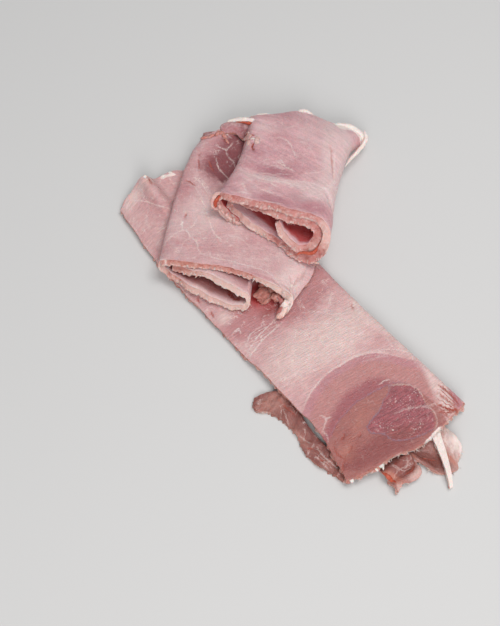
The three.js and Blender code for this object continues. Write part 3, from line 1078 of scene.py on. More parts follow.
def middle_ground(point, u):
    """The middle slice lies on the base slice, and comes down to the table beside and behind it."""
    right, rear = BASE_WIDTH - 7, BASE_LENGTH + 3
    beside = 1 - smoothstep(BASE.across(point), right, right + SHOULDER)
    behind = 1 - smoothstep(BASE.along(point), rear, rear + SHOULDER)
    return ON_BASE * beside * behind


middle_sheet = Sheet(folded(MIDDLE, middle_stations, 0.02, middle_ground), (0.7, 1.15), seed=21, torn=0.7)
print("middle sheet:", middle_sheet.s.shape, "points,", round(middle_sheet.s.max()), "mm long")

# %% Middle slice: its creases and cracks
corner_creases = [
    (1.3, [(17, 3.6), (14.1, 0)]),
    (1.3, [(11.2, 14.2), (7.5, 10.9), (7.8, 3.8)]),
    (1.2, [(6.8, 19.2), (6.4, 13.1), (6, 7.1)]),
    (1.0, [(5.6, 24), (5.2, 15.9)]),
    (0.9, [(11.7, 5.6), (9.1, 3.8)]),
    (0.9, [(19.8, 5.4), (17.6, 2.1)]),
]
middle_cracks = [
    (0.8, [(82, 34.5), (82.2, 31.1)]),
    (1.0, [(84.4, 56.3), (81.6, 55.9), (78.3, 54.8)]),
    (0.9, [(79.3, 74.3), (77.7, 67.4)]),
    (0.8, [(78.9, 80.7), (79.1, 77.6)]),
    (1.0, [(71.3, 98.8), (65.9, 92.2)]),
    (0.8, [(72.9, 74.9), (68.8, 68.8)]),
    (1.0, [(83.6, 101.9), (78.7, 100.6), (73.1, 99.6)]),
    (1.8, [(141, 3.5), (136, 4.5), (131, 7)]),
]
print(len(corner_creases), "creases and", len(middle_cracks), "cracks")

# %% Middle slice: slab and marks
s, t = middle_sheet.s, middle_sheet.t
waves = 0.25 * noise(s, t, 14, 5) + 0.15 * noise(s, t, 5, 6)
waves = waves - 1.5 * grooves(middle_sheet, corner_creases) - grooves(middle_sheet, middle_cracks)
corner = bump(s, 3, 13) * (1 - smoothstep(t, 0, 8))  # the front right corner is thicker
middle_slice, n, k = slab(
    "middle_slice_meat", middle_sheet, SLICE, outer=waves + 0.5 * corner, inner=2.2 * corner, seed=21,
    torn=0.6, slant=1.3,
)
muscle = [(74.4, 78.9), (66.1, 84.6), (58.4, 85.9), (53.1, 84.1), (54.4, 77.3), (58.6, 66.7), (61.9, 62.5),
          (67.9, 67.4)]
draw_on(
    middle_slice, n, middle_sheet,
    hollow=np.maximum(shade_in_roll(middle_sheet, n, k, 0, 1.5), 0.8 * shade_in_roll(middle_sheet, n, k, 0.22, 4)),
    veins=[
        (0.6, [(62.9, 8.5), (53.8, 7.4), (45, 7.4), (36.1, 7.4), (26.5, 8.2), (18.3, 7.1), (11.7, 5.6)]),
        (0.7, [(85.6, 11.6), (85.5, 15.8), (82.8, 21.1), (79.3, 23.3), (74, 19.2), (69.9, 17.3),
               (66.1, 12.6), (62.4, 8.7)]),
        (0.5, [(69.9, 17.3), (67, 20), (64, 21)]),
        (0.8, [(84.1, 29.8), (82.6, 26.5), (81.3, 22.7)]),
        (1.0, [(74.4, 46.7), (70.8, 43)]),
        (0.8, [(70.2, 41.2), (67.7, 34.5), (63.8, 26.7), (56.6, 20.9)]),
        (0.9, [(76.4, 58.5), (72.3, 55.9)]),
        (0.8, [(80.2, 60), (76.4, 58.5), (68.4, 50.7)]),
        (0.65, [(71, 89.5), (67.3, 86.7), (63.9, 84.9), (62, 81)]),
        (0.6, [(63.9, 84.9), (61.9, 88.7), (61.3, 91)]),
        (0.7, [(68.6, 78.6), (66.7, 73.2), (62.7, 69.5), (57.8, 66.4)]),
        (0.5, [(73.5, 102.5), (63.2, 94)]),
        (0.5, [(50, 30), (56, 36), (60, 44)]),
        (0.5, [(62, 81), (58, 79), (55, 74)]),
        (0.5, [(78, 62), (73, 59), (69, 54), (66, 48)]),
        (0.4, [(81, 57), (77, 52), (73, 48)]),
        (0.5, [(79.3, 23.3), (76, 28), (75, 33)]),
        (0.4, [(74, 19.2), (76, 15), (75, 10)]),
        (0.4, [(62.4, 8.7), (66, 5), (72, 4)]),
        (0.4, [(40, 22), (48, 26), (54, 26)]),
    ],
    cracks=[*middle_cracks, *((0.35, crease) for _, crease in corner_creases)],
    rosy=[
        (0.5, 88, 8, 14, 8), (0.5, 32, 3, 16, 3), (0.8, 70, 78, 13, 18), (0.4, 56, 14, 22, 5, 5),
        (0.6, 86, 50, 8, 16), (0.6, 62, 96, 16, 8),
    ],
    pale=[
        (1.1, 10, 13, 9, 15), (0.8, 70, 36, 16, 12, -20), (0.7, 90, 2, 6, 3), (1.0, 16, 0, 20, 1.5),
        (1.2, 165, 0, 30, 2.5), (0.8, 118, 0, 24, 2),
    ],
    deep=[(0.8, 63, 76, 11, 13, -20), (1.2, 56, 93, 12, 9), (0.7, 70, 70, 9, 8), (0.9, 52, 72, 5, 16)],
    tan=[(0.8, 78, 101, 6, 2, 10), (0.75, 66, 0, 24, 1.2)],
    fatty=[
        (1.0, 2, 1.5, 6, 1.5), (0.5, 7, 9, 6, 9), (0.8, 83, 27, 1.0, 2.2, 20), (0.7, 86, 1.8, 4, 0.8, 20),
        (0.9, 68.5, 98.5, 4, 0.7, 40),
    ],
)
keep(middle_slice, "muscle", inside(middle_sheet, muscle)[n])

# %% Middle slice: its ham
middle_ham = ham(
    "middle_ham", flesh=(208, 168, 168), rosy=(188, 130, 134), pale=(222, 194, 191), deep=(136, 74, 78),
    cut=(192, 125, 112), grain=0.06, cover=0.53, veins=0.45, depth=(118, 48, 44),
    bands=[("muscle", -0.8, 1.2, 1.0, (98, 36, 42))],
)
finish_piece(middle_slice, middle_ham, "middle_slice")

# %% [markdown]
# ## The top slice
# The top slice is rolled up one and a half times, and its front end shows the layers: a small loop inside,
# a large one round it, and a last lip on the left. Its meat is streaky, in rosy and pale bands.

# %% Top slice: its surface
top_stations = [
    [
        [[29.8, -3, 28.7], [35.2, -9, 24.6], [46, -12, 21.4]],
        [[49.5, -1.5, 31], [26, 1.5, 30.7], [3.5, 5.4, 28]],
        [[2.5, 1.4, 22.8], [24, -7.5, 18.6], [48, -16, 16]],
        [[53, 1.5, 34], [30, 2.5, 34.3], [-3, 5, 31]],
        [[-6.5, 1.5, 24.5], [2, -1.8, 19.6], [10.9, -4, 18.2]],
    ],
    [
        [[31, 38, 19.4], [38, 38, 17.4], [44, 38, 15.5]],
        [[45, 38, 21.5], [26, 38, 23], [5, 38, 23.1]],
        [[5, 38, 19.8], [26, 38, 14.9], [49, 38, 9]],
        [[49, 38, 25], [30, 38, 26.4], [1.5, 38, 25.9]],
        [[-3, 38, 21.6], [-3, 38, 19.3], [-1.3, 38, 17.8]],
    ],
    [
        [[31, 76, 13.3], [38, 76, 11.9], [44, 76, 10.7]],
        [[45, 76, 14.6], [26, 75, 16.9], [4, 73, 16.8]],
        [[4, 73, 13.4], [26, 75, 10.5], [52, 76, 5.6]],
        [[50, 76, 18], [30, 76, 20.4], [-1, 71, 21.1]],
        [[-6, 72, 16.8], [-7, 72, 14.4], [-7.5, 72, 12.4]],
    ],
    [
        [[31, 84, 9.8], [38, 84, 8.9], [44, 84, 8]],
        [[45, 84, 11.6], [26, 83, 13.3], [4, 81, 13]],
        [[4, 81, 9.6], [26, 85, 5.6], [60, 84, 1.6]],
        [[56, 92, 8.4], [42, 91, 11], [20, 94, 12.8], [8, 85, 16], [-4, 77.5, 17.6]],
        [[-9, 76.5, 14.6], [-13, 75, 12.6], [-18, 73.5, 11]],
    ],
]
top_sheet = Sheet(folded(TOP, top_stations, 0.02, lambda point, u: 0), (0.7, 1.2), seed=31, torn=0.6)
print("top sheet:", top_sheet.s.shape, "points,", round(top_sheet.s.max()), "mm long")

# %% Top slice: slab and marks
s, t = top_sheet.s, top_sheet.t
fold_creases = [
    (1.6, [(65.9, 23.5), (73.1, 19.9), (82.5, 15.3)]),
    (0.8, [(57.5, 58.2), (58.7, 51.6), (60.3, 44.8), (63.3, 36.3)]),
    (1.0, [(9.4, 55.4), (10.9, 54.6)]),
    (1.6, [(10.9, 48.1), (11.4, 45.5), (12.9, 42.1)]),
]
waves = 0.25 * noise(s, t, 13, 7) + 0.15 * noise(s, t, 5, 8) - grooves(top_sheet, fold_creases)

# At the front, the layers of the roll are thicker, each by another amount along the sheet.
at_front = 1 - smoothstep(t, 0, 8)
swell_out = np.interp(
    top_sheet.u, (0, 0.09, 0.16, 0.23, 0.3, 0.38, 0.46, 0.54, 0.84, 0.92, 1),
    (0, 1.0, 3.4, 1.0, 0.45, 0.9, 0.4, 0, 0, 1.2, 0.6),
)
swell_in = np.interp(
    top_sheet.u, (0.52, 0.61, 0.68, 0.76, 0.83, 0.92, 1), (0.2, 2.9, 0.8, 0.6, 1.0, 1.4, 0.8)
)
top_slice, n, k = slab(
    "top_slice_meat", top_sheet, SLICE, outer=waves + at_front * swell_out, inner=at_front * swell_in,
    seed=31, torn=0.55, slant=1.5,
)

# How far from its open ends the painted shade inside the roll begins, in mm, for places along the sheet.
shade_from = np.interp(
    top_sheet.u, (0, 0.1, 0.16, 0.3, 0.4, 0.47, 0.51, 0.55, 0.6), (2.5, 2.5, 0, 0, 4, 6.5, 3.5, 1.2, -0.5)
)
draw_on(
    top_slice, n, top_sheet,
    hollow=shade_in_roll(top_sheet, n, k, 0.42, start=shade_from.reshape(-1)[n], reach=2),
    veins=[
        (0.7, [(8, 53.2), (10.3, 51), (15.6, 51.6)]),
        (0.6, [(21.6, 54.6), (27.5, 55.9), (33.3, 52.4), (36.7, 45.9), (39.2, 42)]),
        (0.9, [(28.2, 37), (32.2, 35.7), (36.8, 33.4), (41, 32.2)]),
        (0.7, [(29.9, 39.2), (33, 36.8)]),
        (0.6, [(20.5, 34.7), (24.2, 37.6)]),
        (0.75, [(31.3, 17.8), (37.9, 18.4), (44.9, 16.3)]),
        (0.7, [(26.6, 13.7), (35.5, 7.5)]),
        (0.7, [(29.8, 3.4), (34.2, 5.4), (40, 5.9)]),
        (0.8, [(51.7, 1.8), (57.7, 1.5), (61.6, 3.4)]),
        (0.6, [(60.5, 56.2), (61.4, 45.4), (64.8, 34.2)]),
        (0.5, [(66.4, 24.8), (73.6, 21.2), (83, 16.6)]),
        (0.35, [(38.8, 56.2), (46.6, 50.7), (52.6, 40.9)]),
        (0.35, [(14.4, 63.1), (24.9, 68), (28.7, 64.8)]),
        (0.35, [(28.6, 63.1), (37.7, 69.4)]),
        (0.6, [(19.4, 22.2), (29.9, 20.7), (41.5, 20.9), (52.7, 22), (62.7, 23.8)]),
        (0.5, [(24, 24), (30, 25.5), (36, 25)]),
        (0.6, [(34, 27), (42, 28.5)]),
        (0.5, [(46, 24.5), (54, 26.2), (59, 26)]),
        (0.5, [(22, 18), (28, 16.5)]),
        (0.5, [(40, 12), (48, 10.5)]),
        (0.4, [(25, 30), (29, 33), (35, 31)]),
        (0.4, [(47, 33), (54, 36), (58, 41)]),
        (0.4, [(68, 60), (75, 52), (80, 40)]),
    ],
    cracks=[(1.4, fold_creases[2][1]), (1.7, fold_creases[3][1]), (0.5, fold_creases[1][1])],
    rosy=[
        (0.9, 29.1, 28.1, 18, 4, -5), (0.7, 13.9, 41.7, 7, 9), (0.9, 53.5, 5.5, 16, 5, -5),
        (0.9, 74.9, 9, 14, 6, -20), (0.5, 40, 40, 16, 12, 20), (0.5, 62, 46, 2.5, 14, 8),
        (0.5, 30, 73, 30, 3), (0.6, 18, 8, 10, 5),
    ],
    # The pale patches on the right, from s 62 to 80, are partly painted light where that side tilts toward
    # the window.
    pale=[
        (1.1, 62, 63, 9, 10, 30), (1.0, 41, 21.5, 24, 3, 2), (0.7, 18, 62, 12, 5), (0.8, 80, 24, 9, 10, 20),
        (1.2, 64, 50, 12, 22, 8), (1.1, 66, 25, 9, 14), (0.5, 36, 6, 8, 3, -20), (0.9, 97, 0, 14, 2),
        (0.8, 262, 0, 14, 2.5), (0.8, 12, 0, 14, 1.5), (0.6, 44, 0, 6, 1), (0.8, 160, 0, 20, 2.5),
    ],
    deep=[(0.3, 35, 28, 14, 3, -5)],
    tan=[(0.9, 0.8, 71, 2, 3), (0.7, 86, 70, 8, 2.5)],
    fatty=[
        (1.2, 2.5, 74.2, 3.5, 1.3), (1.1, 46, 74.4, 4.5, 1.3), (1.0, 6, 71, 3, 1.0, -60),
        (1.2, 68, 72.6, 4, 1.6, 10), (0.5, 65, 26, 7, 16), (1.3, 80, 74.2, 12, 2.0),
        (1.0, 92, 73.5, 5, 2.2), (0.8, 11, 51.5, 2.5, 1.0),
    ],
)

# %% Top slice: its ham
top_ham = ham(
    "top_ham", flesh=(213, 168, 171), rosy=(184, 126, 134), pale=(222, 192, 191), deep=(160, 98, 108),
    cut=(190, 119, 112), grain_width=2.2, cover=0.55, veins=0.35,
)
finish_piece(top_slice, top_ham, "top_slice")

# %% [markdown]
# ## The torn pieces at the front
# A thin slice lies under the front end and sticks out in two torn flaps. A torn strip lies along the left
# edge, and a strip of white fat hangs out over the right flap. They are nearly flat, so each one is a
# surface between two drawn edges, or along a drawn line.

# %% Thin slice
left_flap = [(19, -20.5), (24, -18.2), (29, -20), (36, -19.4), (39, -13)]
right_flap = [(43, -23), (48, -28), (54, -29), (57, -25.5), (62.5, -22), (64.3, -13)]
THIN_REAR = [(19, 58), (66, 58)]  # the ends of the edge that is hidden under the base slice


def thin_at(u, v):
    """From the flaps' edge to a straight edge under the base slice, with ridges in both flaps."""
    edge = smooth_curve([*left_flap, *right_flap], u + 0 * v)
    rear = smooth_curve(THIN_REAR, u + 0 * v)
    xy = lerp(edge, rear, (v**2 + 0 * u)[..., None])
    x, y = xy[..., 0], xy[..., 1]
    ridges = (1 - smoothstep(x, 36, 39)) * (3.4 * bump(y, -8.5, 3) + 3 * bump(y, -17, 3))
    sides = smoothstep(-y, 6, 16) * (4 * bump(x, 63, 4) + 1.2 * bump(x, 41, 3))
    return BASE.place(x, y, THIN / 2 + ridges + sides)


thin_sheet = Sheet(thin_at, (0.9, 0.9), seed=41, torn=0.6)
s, t = thin_sheet.s, thin_sheet.t
waves = 0.5 * noise(s, t, 6, 9) + 0.2 * noise(s, t, 2.5, 10)
thin_slice, n, _ = slab("thin_slice_meat", thin_sheet, THIN, outer=waves, seed=41, torn=0.6)
draw_on(
    thin_slice, n, thin_sheet,
    cracks=[(1.2, [(49, 7), (54, 5), (60, 5.5)]), (1.0, [(36, 8), (32, 10), (27, 10)])],
    veins=[
        (0.4, [(50, 12), (55, 10), (60, 12)]),
        (0.4, [(57, 14), (59, 10)]),
        (0.5, [(46, 2), (48, 5), (47, 9)]),
    ],
    rosy=[(0.8, 55, 11, 9, 4)],
    pale=[(1.1, 54, 2, 9, 2.5), (0.7, 30, 3, 8, 2.5), (1.4, 9, 6, 14, 15), (1.0, 68.5, 1, 2.5, 2.5)],
    # The larger darker patch, near the base slice's front edge, is partly painted shade.
    deep=[(1.3, 30, 9, 11, 8), (1.0, 54, 6, 5, 1.2)],
    tan=[(1.3, 66, 8, 3, 8), (1.1, 20, 8, 2.2, 8), (0.8, 43, 8, 2, 8)],
    fatty=[(0.8, 8, 6, 11, 12), (0.55, 68.8, 0.5, 1.6, 1.6)],
)
torn_ham = ham(
    "torn_ham", flesh=(186, 129, 122), rosy=(160, 96, 90), pale=(216, 180, 172), deep=(138, 70, 60),
    cut=(206, 154, 142), grain=0.08, cover=0.52, veins=0.45,
)
# A darker copy of torn_ham for the flaps: darker meat and painted shade from the base slice's front end.
thin_ham_shaded = ham(
    "thin_ham_shaded", flesh=(155, 99, 92), rosy=(136, 74, 67), pale=(210, 172, 164), deep=(118, 60, 50),
    cut=(190, 140, 128), grain=0.08, cover=0.52,
)
finish_piece(thin_slice, thin_ham_shaded, "thin_slice")

# %% Torn strip
strip_outer = [(0.5, 2), (-1.5, 9), (-5.5, 20), (-6, 28), (-3.5, 38), (-4, 47), (-7.5, 56),
               (-12.2, 60.5), (-12.6, 65.5)]
strip_inner = [(4.5, 2), (7, 10), (7, 20), (5.6, 30), (5.6, 41), (7.5, 50), (8.5, 58), (2, 66.5),
               (-8.5, 69)]


def strip_at(u, v):
    """The torn strip, flat on the table between its outer and inner edges."""
    outer, inner = (smooth_curve(points, v + 0 * u) for points in (strip_outer, strip_inner))
    xy = lerp(outer, inner, (u + 0 * v)[..., None])
    return BASE.place(xy[..., 0], xy[..., 1], THIN / 2)


strip_sheet = Sheet(strip_at, (0.7, 0.8), seed=51, torn=0.4)
s, t = strip_sheet.s, strip_sheet.t
waves = 0.9 * noise(s, t, 4.5, 11) + 0.35 * noise(s, t, 2, 12)
torn_strip, n, _ = slab("torn_strip_meat", strip_sheet, THIN, outer=waves, seed=51, torn=0.6)
draw_on(
    torn_strip, n, strip_sheet,
    pale=[(1.2, 9, 62, 9, 8), (0.8, 9, 36, 3, 12), (0.6, 7, 14, 3, 6)],
    # The darker patch along the inner edge, next to the base slice, is painted shade.
    deep=[(0.7, 0, 32, 3.5, 26)],
    fatty=[(0.55, 16, 62, 1.5, 6), (0.5, 8, 22, 1, 2), (0.5, 7, 12, 1, 3)],
    veins=[
        (0.6, [(4, 8), (6, 16), (5, 24)]),
        (0.5, [(9, 11), (9.5, 20)]),
        (0.5, [(6, 28), (8, 36)]),
        (0.4, [(11, 44), (9, 52)]),
    ],
    cracks=[(0.9, [(8, 15), (9.5, 18)]), (0.8, [(7.5, 25), (9, 27)]), (0.6, [(4, 46), (7, 54), (6, 60)])],
)
# A darker copy of torn_ham for the strip: darker meat and painted shade from the heap beside it.
strip_ham_shaded = ham(
    "strip_ham_shaded", flesh=(142, 88, 81), rosy=(128, 70, 65), pale=(172, 120, 110), deep=(104, 50, 44),
    cut=(160, 104, 93), veins=0.5,
)
finish_piece(torn_strip, strip_ham_shaded, "torn_strip")

# %% Fat strip
fat_path = [(58.5, 1, ON_THIN + 1.5), (56.3, -7.5, ON_THIN + 1.6), (52.2, -18, ON_THIN + 1.7),
            (48.2, -26.5, ON_THIN + 1.4), (44.2, -34, THIN / 2 + 0.4)]


def fat_at(u, v):
    """A ribbon along fat_path that gets narrower."""
    p = smooth_curve(fat_path, v + 0 * u)
    width = np.interp(v, (0, 0.35, 1), (8.5, 5.2, 2.4))
    return BASE.place(p[..., 0] + (0.5 - u) * width, p[..., 1], p[..., 2])


fat_sheet = Sheet(fat_at, (0.6, 0.8), seed=61, torn=0.15)
s, t = fat_sheet.s, fat_sheet.t
fat_strip, n, _ = slab("fat_strip_fat", fat_sheet, THIN, outer=0.2 * noise(s, t, 3, 13), seed=61, torn=0.2)
draw_on(fat_strip, n, fat_sheet)
fat_white = ham(
    "white_fat", flesh=(238, 223, 216), rosy=(230, 204, 196), pale=(244, 234, 228), deep=(210, 170, 160),
    cut=(236, 220, 212), grain=0.03, cover=0.7, veins=0.0,
)
finish_piece(fat_strip, fat_white, "fat_strip")

# %% [markdown]
# ## Shreds and torn bits
# The cut edges end in small whitish shreds. They are too fine for the slab's own rim, so each one is a
# thin bent cone. They are all the same shape, stretched and turned differently, in one mesh per slice.

# %% Shreds along the cut edges
CLEAR = 0.15  # mm of air between a small piece and the table
SHRED_LENGTH = 2.4  # of the longest shreds
SHRED_ROOT = 0.5  # mm of each shred inside the slice


def rod(segments, taper, cuts):
    """A closed cone from z = 0 to 1, whose long edges are cut into steps."""
    made = bmesh.new()
    bmesh.ops.create_cone(made, cap_ends=True, segments=segments, radius1=1, radius2=taper, depth=1)
    long_edges = [edge for edge in made.edges if abs(edge.verts[0].co.z - edge.verts[1].co.z) > 0.5]
    bmesh.ops.subdivide_edges(made, edges=long_edges, cuts=cuts, use_grid_fill=True)
    return made, np.array([vert.co for vert in made.verts]) + (0, 0, 0.5)


cone, CONE = rod(6, 0.15, 3)
cone.verts.index_update()
CONE_FACES = [[vert.index for vert in face.verts] for face in cone.faces]
cone.free()
shred_meat = ham(
    "shred_meat", flesh=(226, 194, 184), rosy=(206, 150, 138), pale=(236, 216, 208), deep=(190, 130, 120),
    cut=(220, 180, 170), grain=0.3, veins=0.3,
)


def shreds(name, sheet, spans, count, thickness, seed, rear):
    """Shreds along the front or rear edge where s is in one of the spans, hanging from the lower border."""
    pick = np.random.default_rng(seed)
    each = count, 1
    at, behind = (-1, -5) if rear else (0, 4)
    along = sheet.s[:, at]
    rows = np.flatnonzero(np.any([(along >= low) & (along <= high) for low, high in spans], 0))
    rows = pick.choice(rows, count)
    root, ahead = sheet.points[rows, at], unit(sheet.points[rows, at] - sheet.points[rows, behind])
    up = sheet.normals[rows, at] * np.sign(sheet.normals[rows, at, 2:])
    beside = unit(np.cross(ahead, up))
    level = pick.uniform(-0.9, 0.1, each) * thickness / 2
    length = SHRED_LENGTH * pick.uniform(0.25, 1, each) ** 1.6
    width, depth = pick.uniform(0.15, 0.5, each), pick.uniform(0.1, 0.22, each)
    toward = unit(ahead + beside * pick.normal(0, 0.7, each) + up * pick.normal(-0.25, 0.35, each))
    wide = unit(np.cross(toward, up))
    thin = np.cross(toward, wide)
    droop = pick.uniform(-0.1, 0.5, each)
    swing = pick.normal(0, 0.25, each)
    x, y, z = CONE.T[:, :, None, None]
    bend = (z**2) * length
    spots = root + up * level - ahead * SHRED_ROOT + wide * (x * width + bend * swing) + thin * (y * depth)
    spots = spots + toward * z * (length + SHRED_ROOT) - np.array([0, 0, 1]) * (bend * droop)
    spots = np.swapaxes(spots, 0, 1).reshape(-1, 3)
    spots[:, 2] = np.maximum(spots[:, 2], CLEAR)
    faces = [[index + len(CONE) * shred for index in face] for shred in range(count) for face in CONE_FACES]
    mesh = bpy.data.meshes.new(name)
    mesh.from_pydata(((spots + SHIFT) * MM).tolist(), [], faces)
    piece = add_piece(mesh, np.repeat(along[rows], len(CONE)), np.tile(CONE[:, 2] * 2, count))
    finish_small(piece, shred_meat)


for row in (
    ("top_slice_shreds", top_sheet, ((0, 60), (95, 330)), 150, SLICE, 71, False),
    ("middle_slice_shreds", middle_sheet, ((0, 75), (80, 200)), 130, SLICE, 72, False),
    ("base_slice_shreds", base_sheet, ((5, 75),), 70, SLICE, 73, False),
    ("thin_slice_shreds", thin_sheet, ((4, 80),), 40, THIN, 74, False),
    ("top_slice_rear_shreds", top_sheet, ((0, 95),), 60, SLICE, 75, True),
    ("middle_slice_rear_shreds", middle_sheet, ((0, 95),), 70, SLICE, 76, True),
    ("base_slice_rear_shreds", base_sheet, ((0, 80),), 50, SLICE, 77, True),
):
    shreds(*row)

# %% [markdown]
# ## Torn bits, soft strips and rags
# Lumps, tears, seams and rolls of fat are small closed pieces of their own, which sink into the slices.
# A rough ball makes a lump, a ring drawn along a path makes a soft strip, and a rag is a small slab.

# %% Torn bits, soft strips and rags
BIT_UNEVEN = 0.3  # how much larger and smaller a lump gets in places
SWEPT_CUTS = 30
SWEPT_UNEVEN = 0.35
RAG = 1.8  # thickness of a rag


def spot_on(sheet, s, t):
    """A point of the outer surface, with the directions along s, along t and up."""
    index = np.unravel_index(((sheet.s - s) ** 2 + (sheet.t - t) ** 2).argmin(), sheet.s.shape)
    i, j = (int(np.clip(at, 2, size - 3)) for at, size in zip(index, sheet.s.shape))
    up = sheet.normals[i, j]
    along_s = unit(sheet.points[i - 2, j] - sheet.points[i + 2, j])
    along_t = unit(sheet.points[i, j + 2] - sheet.points[i, j - 2])
    return sheet.points[i, j] + up * SLICE / 2, along_s, along_t, up


def over(sheet, *spots):
    """Points over the outer surface: (s, t, height over it)."""
    places = [(spot_on(sheet, s, t), lift) for s, t, lift in spots]
    return [place[0] + place[3] * lift for place, lift in places]


def on(plan, *points):
    """Points of (across, along, height)."""
    return plan.place(*np.array(points, float).T)


def torn_bits(name, sheet, bits, material, level=3, hollow=0.0):
    """Rough lumps over a sheet: (s, t, lift, (half sizes), turn in degrees, seed)."""
    shell = bmesh.new()
    flat = []
    for s, t, lift, sizes, heading, seed in bits:
        centre, along_s, along_t, up = spot_on(sheet, s, t)
        a, b = math.cos(math.radians(heading)), math.sin(math.radians(heading))
        long, short = along_s * a + along_t * b, along_t * a - along_s * b
        made = bmesh.ops.create_icosphere(shell, subdivisions=level, radius=1)["verts"]
        if np.cross(long, short) @ up < 0:
            bmesh.ops.reverse_faces(shell, faces=list({face for vert in made for face in vert.link_faces}))
        for vert in made:
            ball = vert.co.copy()
            rough_by = 1 + BIT_UNEVEN * field.fractal(ball * 1.6 + Vector((seed, 0, 0)), 1.0, 2.0, 4)
            x, y, z = (np.array(ball) * rough_by) * sizes
            spot = centre + long * x + short * y + up * (z + lift)
            spot[2] = max(spot[2], CLEAR)
            vert.co = (spot + SHIFT) * MM
            flat.append((s + x + 0.5 * z, t + y + 0.5 * z))
    piece = add_piece(mesh_of(name, shell), *np.array(flat).T)
    keep(piece, "hollow", np.full(len(flat), hollow))
    finish_small(piece, material)


def swept(name, path, wide, thick, material, seed, hollow=0.0):
    """A soft strip along a path of (x, y, z), with half widths and half thicknesses along it."""
    shell, ring = rod(16, 1, SWEPT_CUTS)
    x, y, h = ring.T
    toward = unit(smooth_curve(path, h + 0.02) - smooth_curve(path, h - 0.02))
    beside = unit(np.cross(toward, (0, 0, 1)))
    up = np.cross(beside, toward)
    steps = np.linspace(0, 1, len(wide))
    end = np.clip(np.minimum(h, 1 - h) * 12, 0.15, 1) ** 0.5  # the ends are rounded off
    uneven = end * (1 + SWEPT_UNEVEN * rough(40 * h, 6 * x, 4, seed))
    spots = smooth_curve(path, h) + beside * (x * np.interp(h, steps, wide) * uneven)[:, None]
    spots += up * (y * np.interp(h, steps, thick) * uneven)[:, None]
    spots[:, 2] = np.maximum(spots[:, 2], CLEAR)
    put(shell.verts, spots)
    turn_outward(shell)
    piece = add_piece(mesh_of(name, shell), 30 * h, 3 * x)
    keep(piece, "hollow", hollow + 0 * h)
    finish_small(piece, material)


def rag(name, plan, front, rear, seed, **marks):
    """A small torn piece between a front and a rear edge, each a list of (across, along, height)."""

    def at(u, v):
        a, b = (smooth_curve(edge, u + 0 * v) for edge in (front, rear))
        p = lerp(a, b, (v + 0 * u)[..., None])
        return plan.place(p[..., 0], p[..., 1], p[..., 2])

    sheet = Sheet(at, (0.5, 0.5), seed, torn=0.5)
    waves = 0.3 * noise(sheet.s, sheet.t, 3, seed)
    piece, n, _ = slab(name, sheet, RAG, outer=waves, inner=-waves, seed=seed, torn=0.6)
    draw_on(piece, n, sheet, **marks)
    finish_small(piece, middle_ham)


curl_ham = ham(
    "curl_ham", flesh=(216, 172, 165), rosy=(198, 142, 136), pale=(230, 204, 196), deep=(176, 104, 90)
)
tear_ham = ham(
    "tear_ham", flesh=(204, 142, 132), rosy=(180, 96, 84), pale=(222, 178, 168), deep=(150, 70, 58),
    veins=0.3,
)
raw_ham = ham(
    "raw_ham", flesh=(188, 84, 60), rosy=(166, 58, 40), pale=(208, 122, 98), deep=(130, 34, 26),
    cover=0.6, veins=0.2,
)
lump_ham = ham(
    "lump_ham", flesh=(198, 134, 122), rosy=(176, 98, 84), pale=(226, 184, 172), deep=(138, 76, 66),
    depth=(122, 44, 36),
)
print("materials:", [material.name for material in bpy.data.materials])

# %% Fat, seams and curls of the top slice
swept(
    "top_slice_right_fat_lower",
    on(TOP, (62, 91.5, 10), (64.3, 87, 9.4), (63.6, 81, 8.6), (61, 74.5, 8.4), (58.6, 68, 9),
       (57, 61, 10.5)),
    (0.9, 1.4, 1.4, 1.2, 0.9, 0.5), (0.8, 1.2, 1.3, 1.2, 0.9, 0.5), fat_white, 28,
)
swept(
    "top_slice_right_fat",
    over(top_sheet, (64, 73, -0.4), (70, 74, 0.2), (77, 74.5, 0.4), (84, 74.5, 0.6), (90, 73.5, 0.8),
         (93, 70, 0.8), (94, 66, 0.4)),
    (1.0, 1.6, 1.9, 1.6, 1.2, 0.8), (0.8, 1.0, 1.1, 1.1, 0.9, 0.6), fat_white, 21,
)
swept(
    "top_slice_rear_fat", over(top_sheet, (42, 74, -0.2), (46, 74.6, 0.5), (51, 74, -0.2)),
    (0.8, 1.5, 0.7), (0.7, 1.1, 0.6), fat_white, 22,
)
swept(
    "top_slice_left_fat",
    on(TOP, (-16.5, 73.5, 12), (-12, 75.6, 14), (-7, 77, 16.4), (-2, 78.6, 18.2), (4, 81.5, 18)),
    (0.7, 1.3, 1.4, 1.0), (0.7, 0.9, 0.9, 0.7), fat_white, 23,
)
swept(
    "top_slice_seam",
    on(TOP, (45.5, -12.9, 18.5), (47.8, -11.2, 19), (54.1, -10.7, 20.5), (56.7, -6.7, 22.5),
       (57.5, -2.1, 25.5), (56.8, 1.2, 28.5)),
    (0.3, 0.8, 1.0, 0.9, 0.7, 0.4), (0.5, 0.8, 1.0, 0.9, 0.7, 0.5), raw_ham, 27,
)
swept(
    "top_slice_curl_inside",
    on(TOP, (-5.4, 7, 29.4), (-6.9, 4.4, 28.6), (-7.6, 2.6, 26.6), (-6.6, 1.4, 24.8)),
    (0.6, 1.0, 1.1, 0.6), (0.7, 1.0, 1.0, 0.6), raw_ham, 25,
)
swept(
    "top_slice_curl",
    on(TOP, (-6, 9, 30.5), (-8.6, 6, 29.5), (-9.6, 3.2, 27), (-8.2, 1.6, 24.5), (-5.6, 1.2, 23)),
    (0.8, 1.4, 1.5, 0.9), (0.6, 0.9, 0.9, 0.5), curl_ham, 24,
)

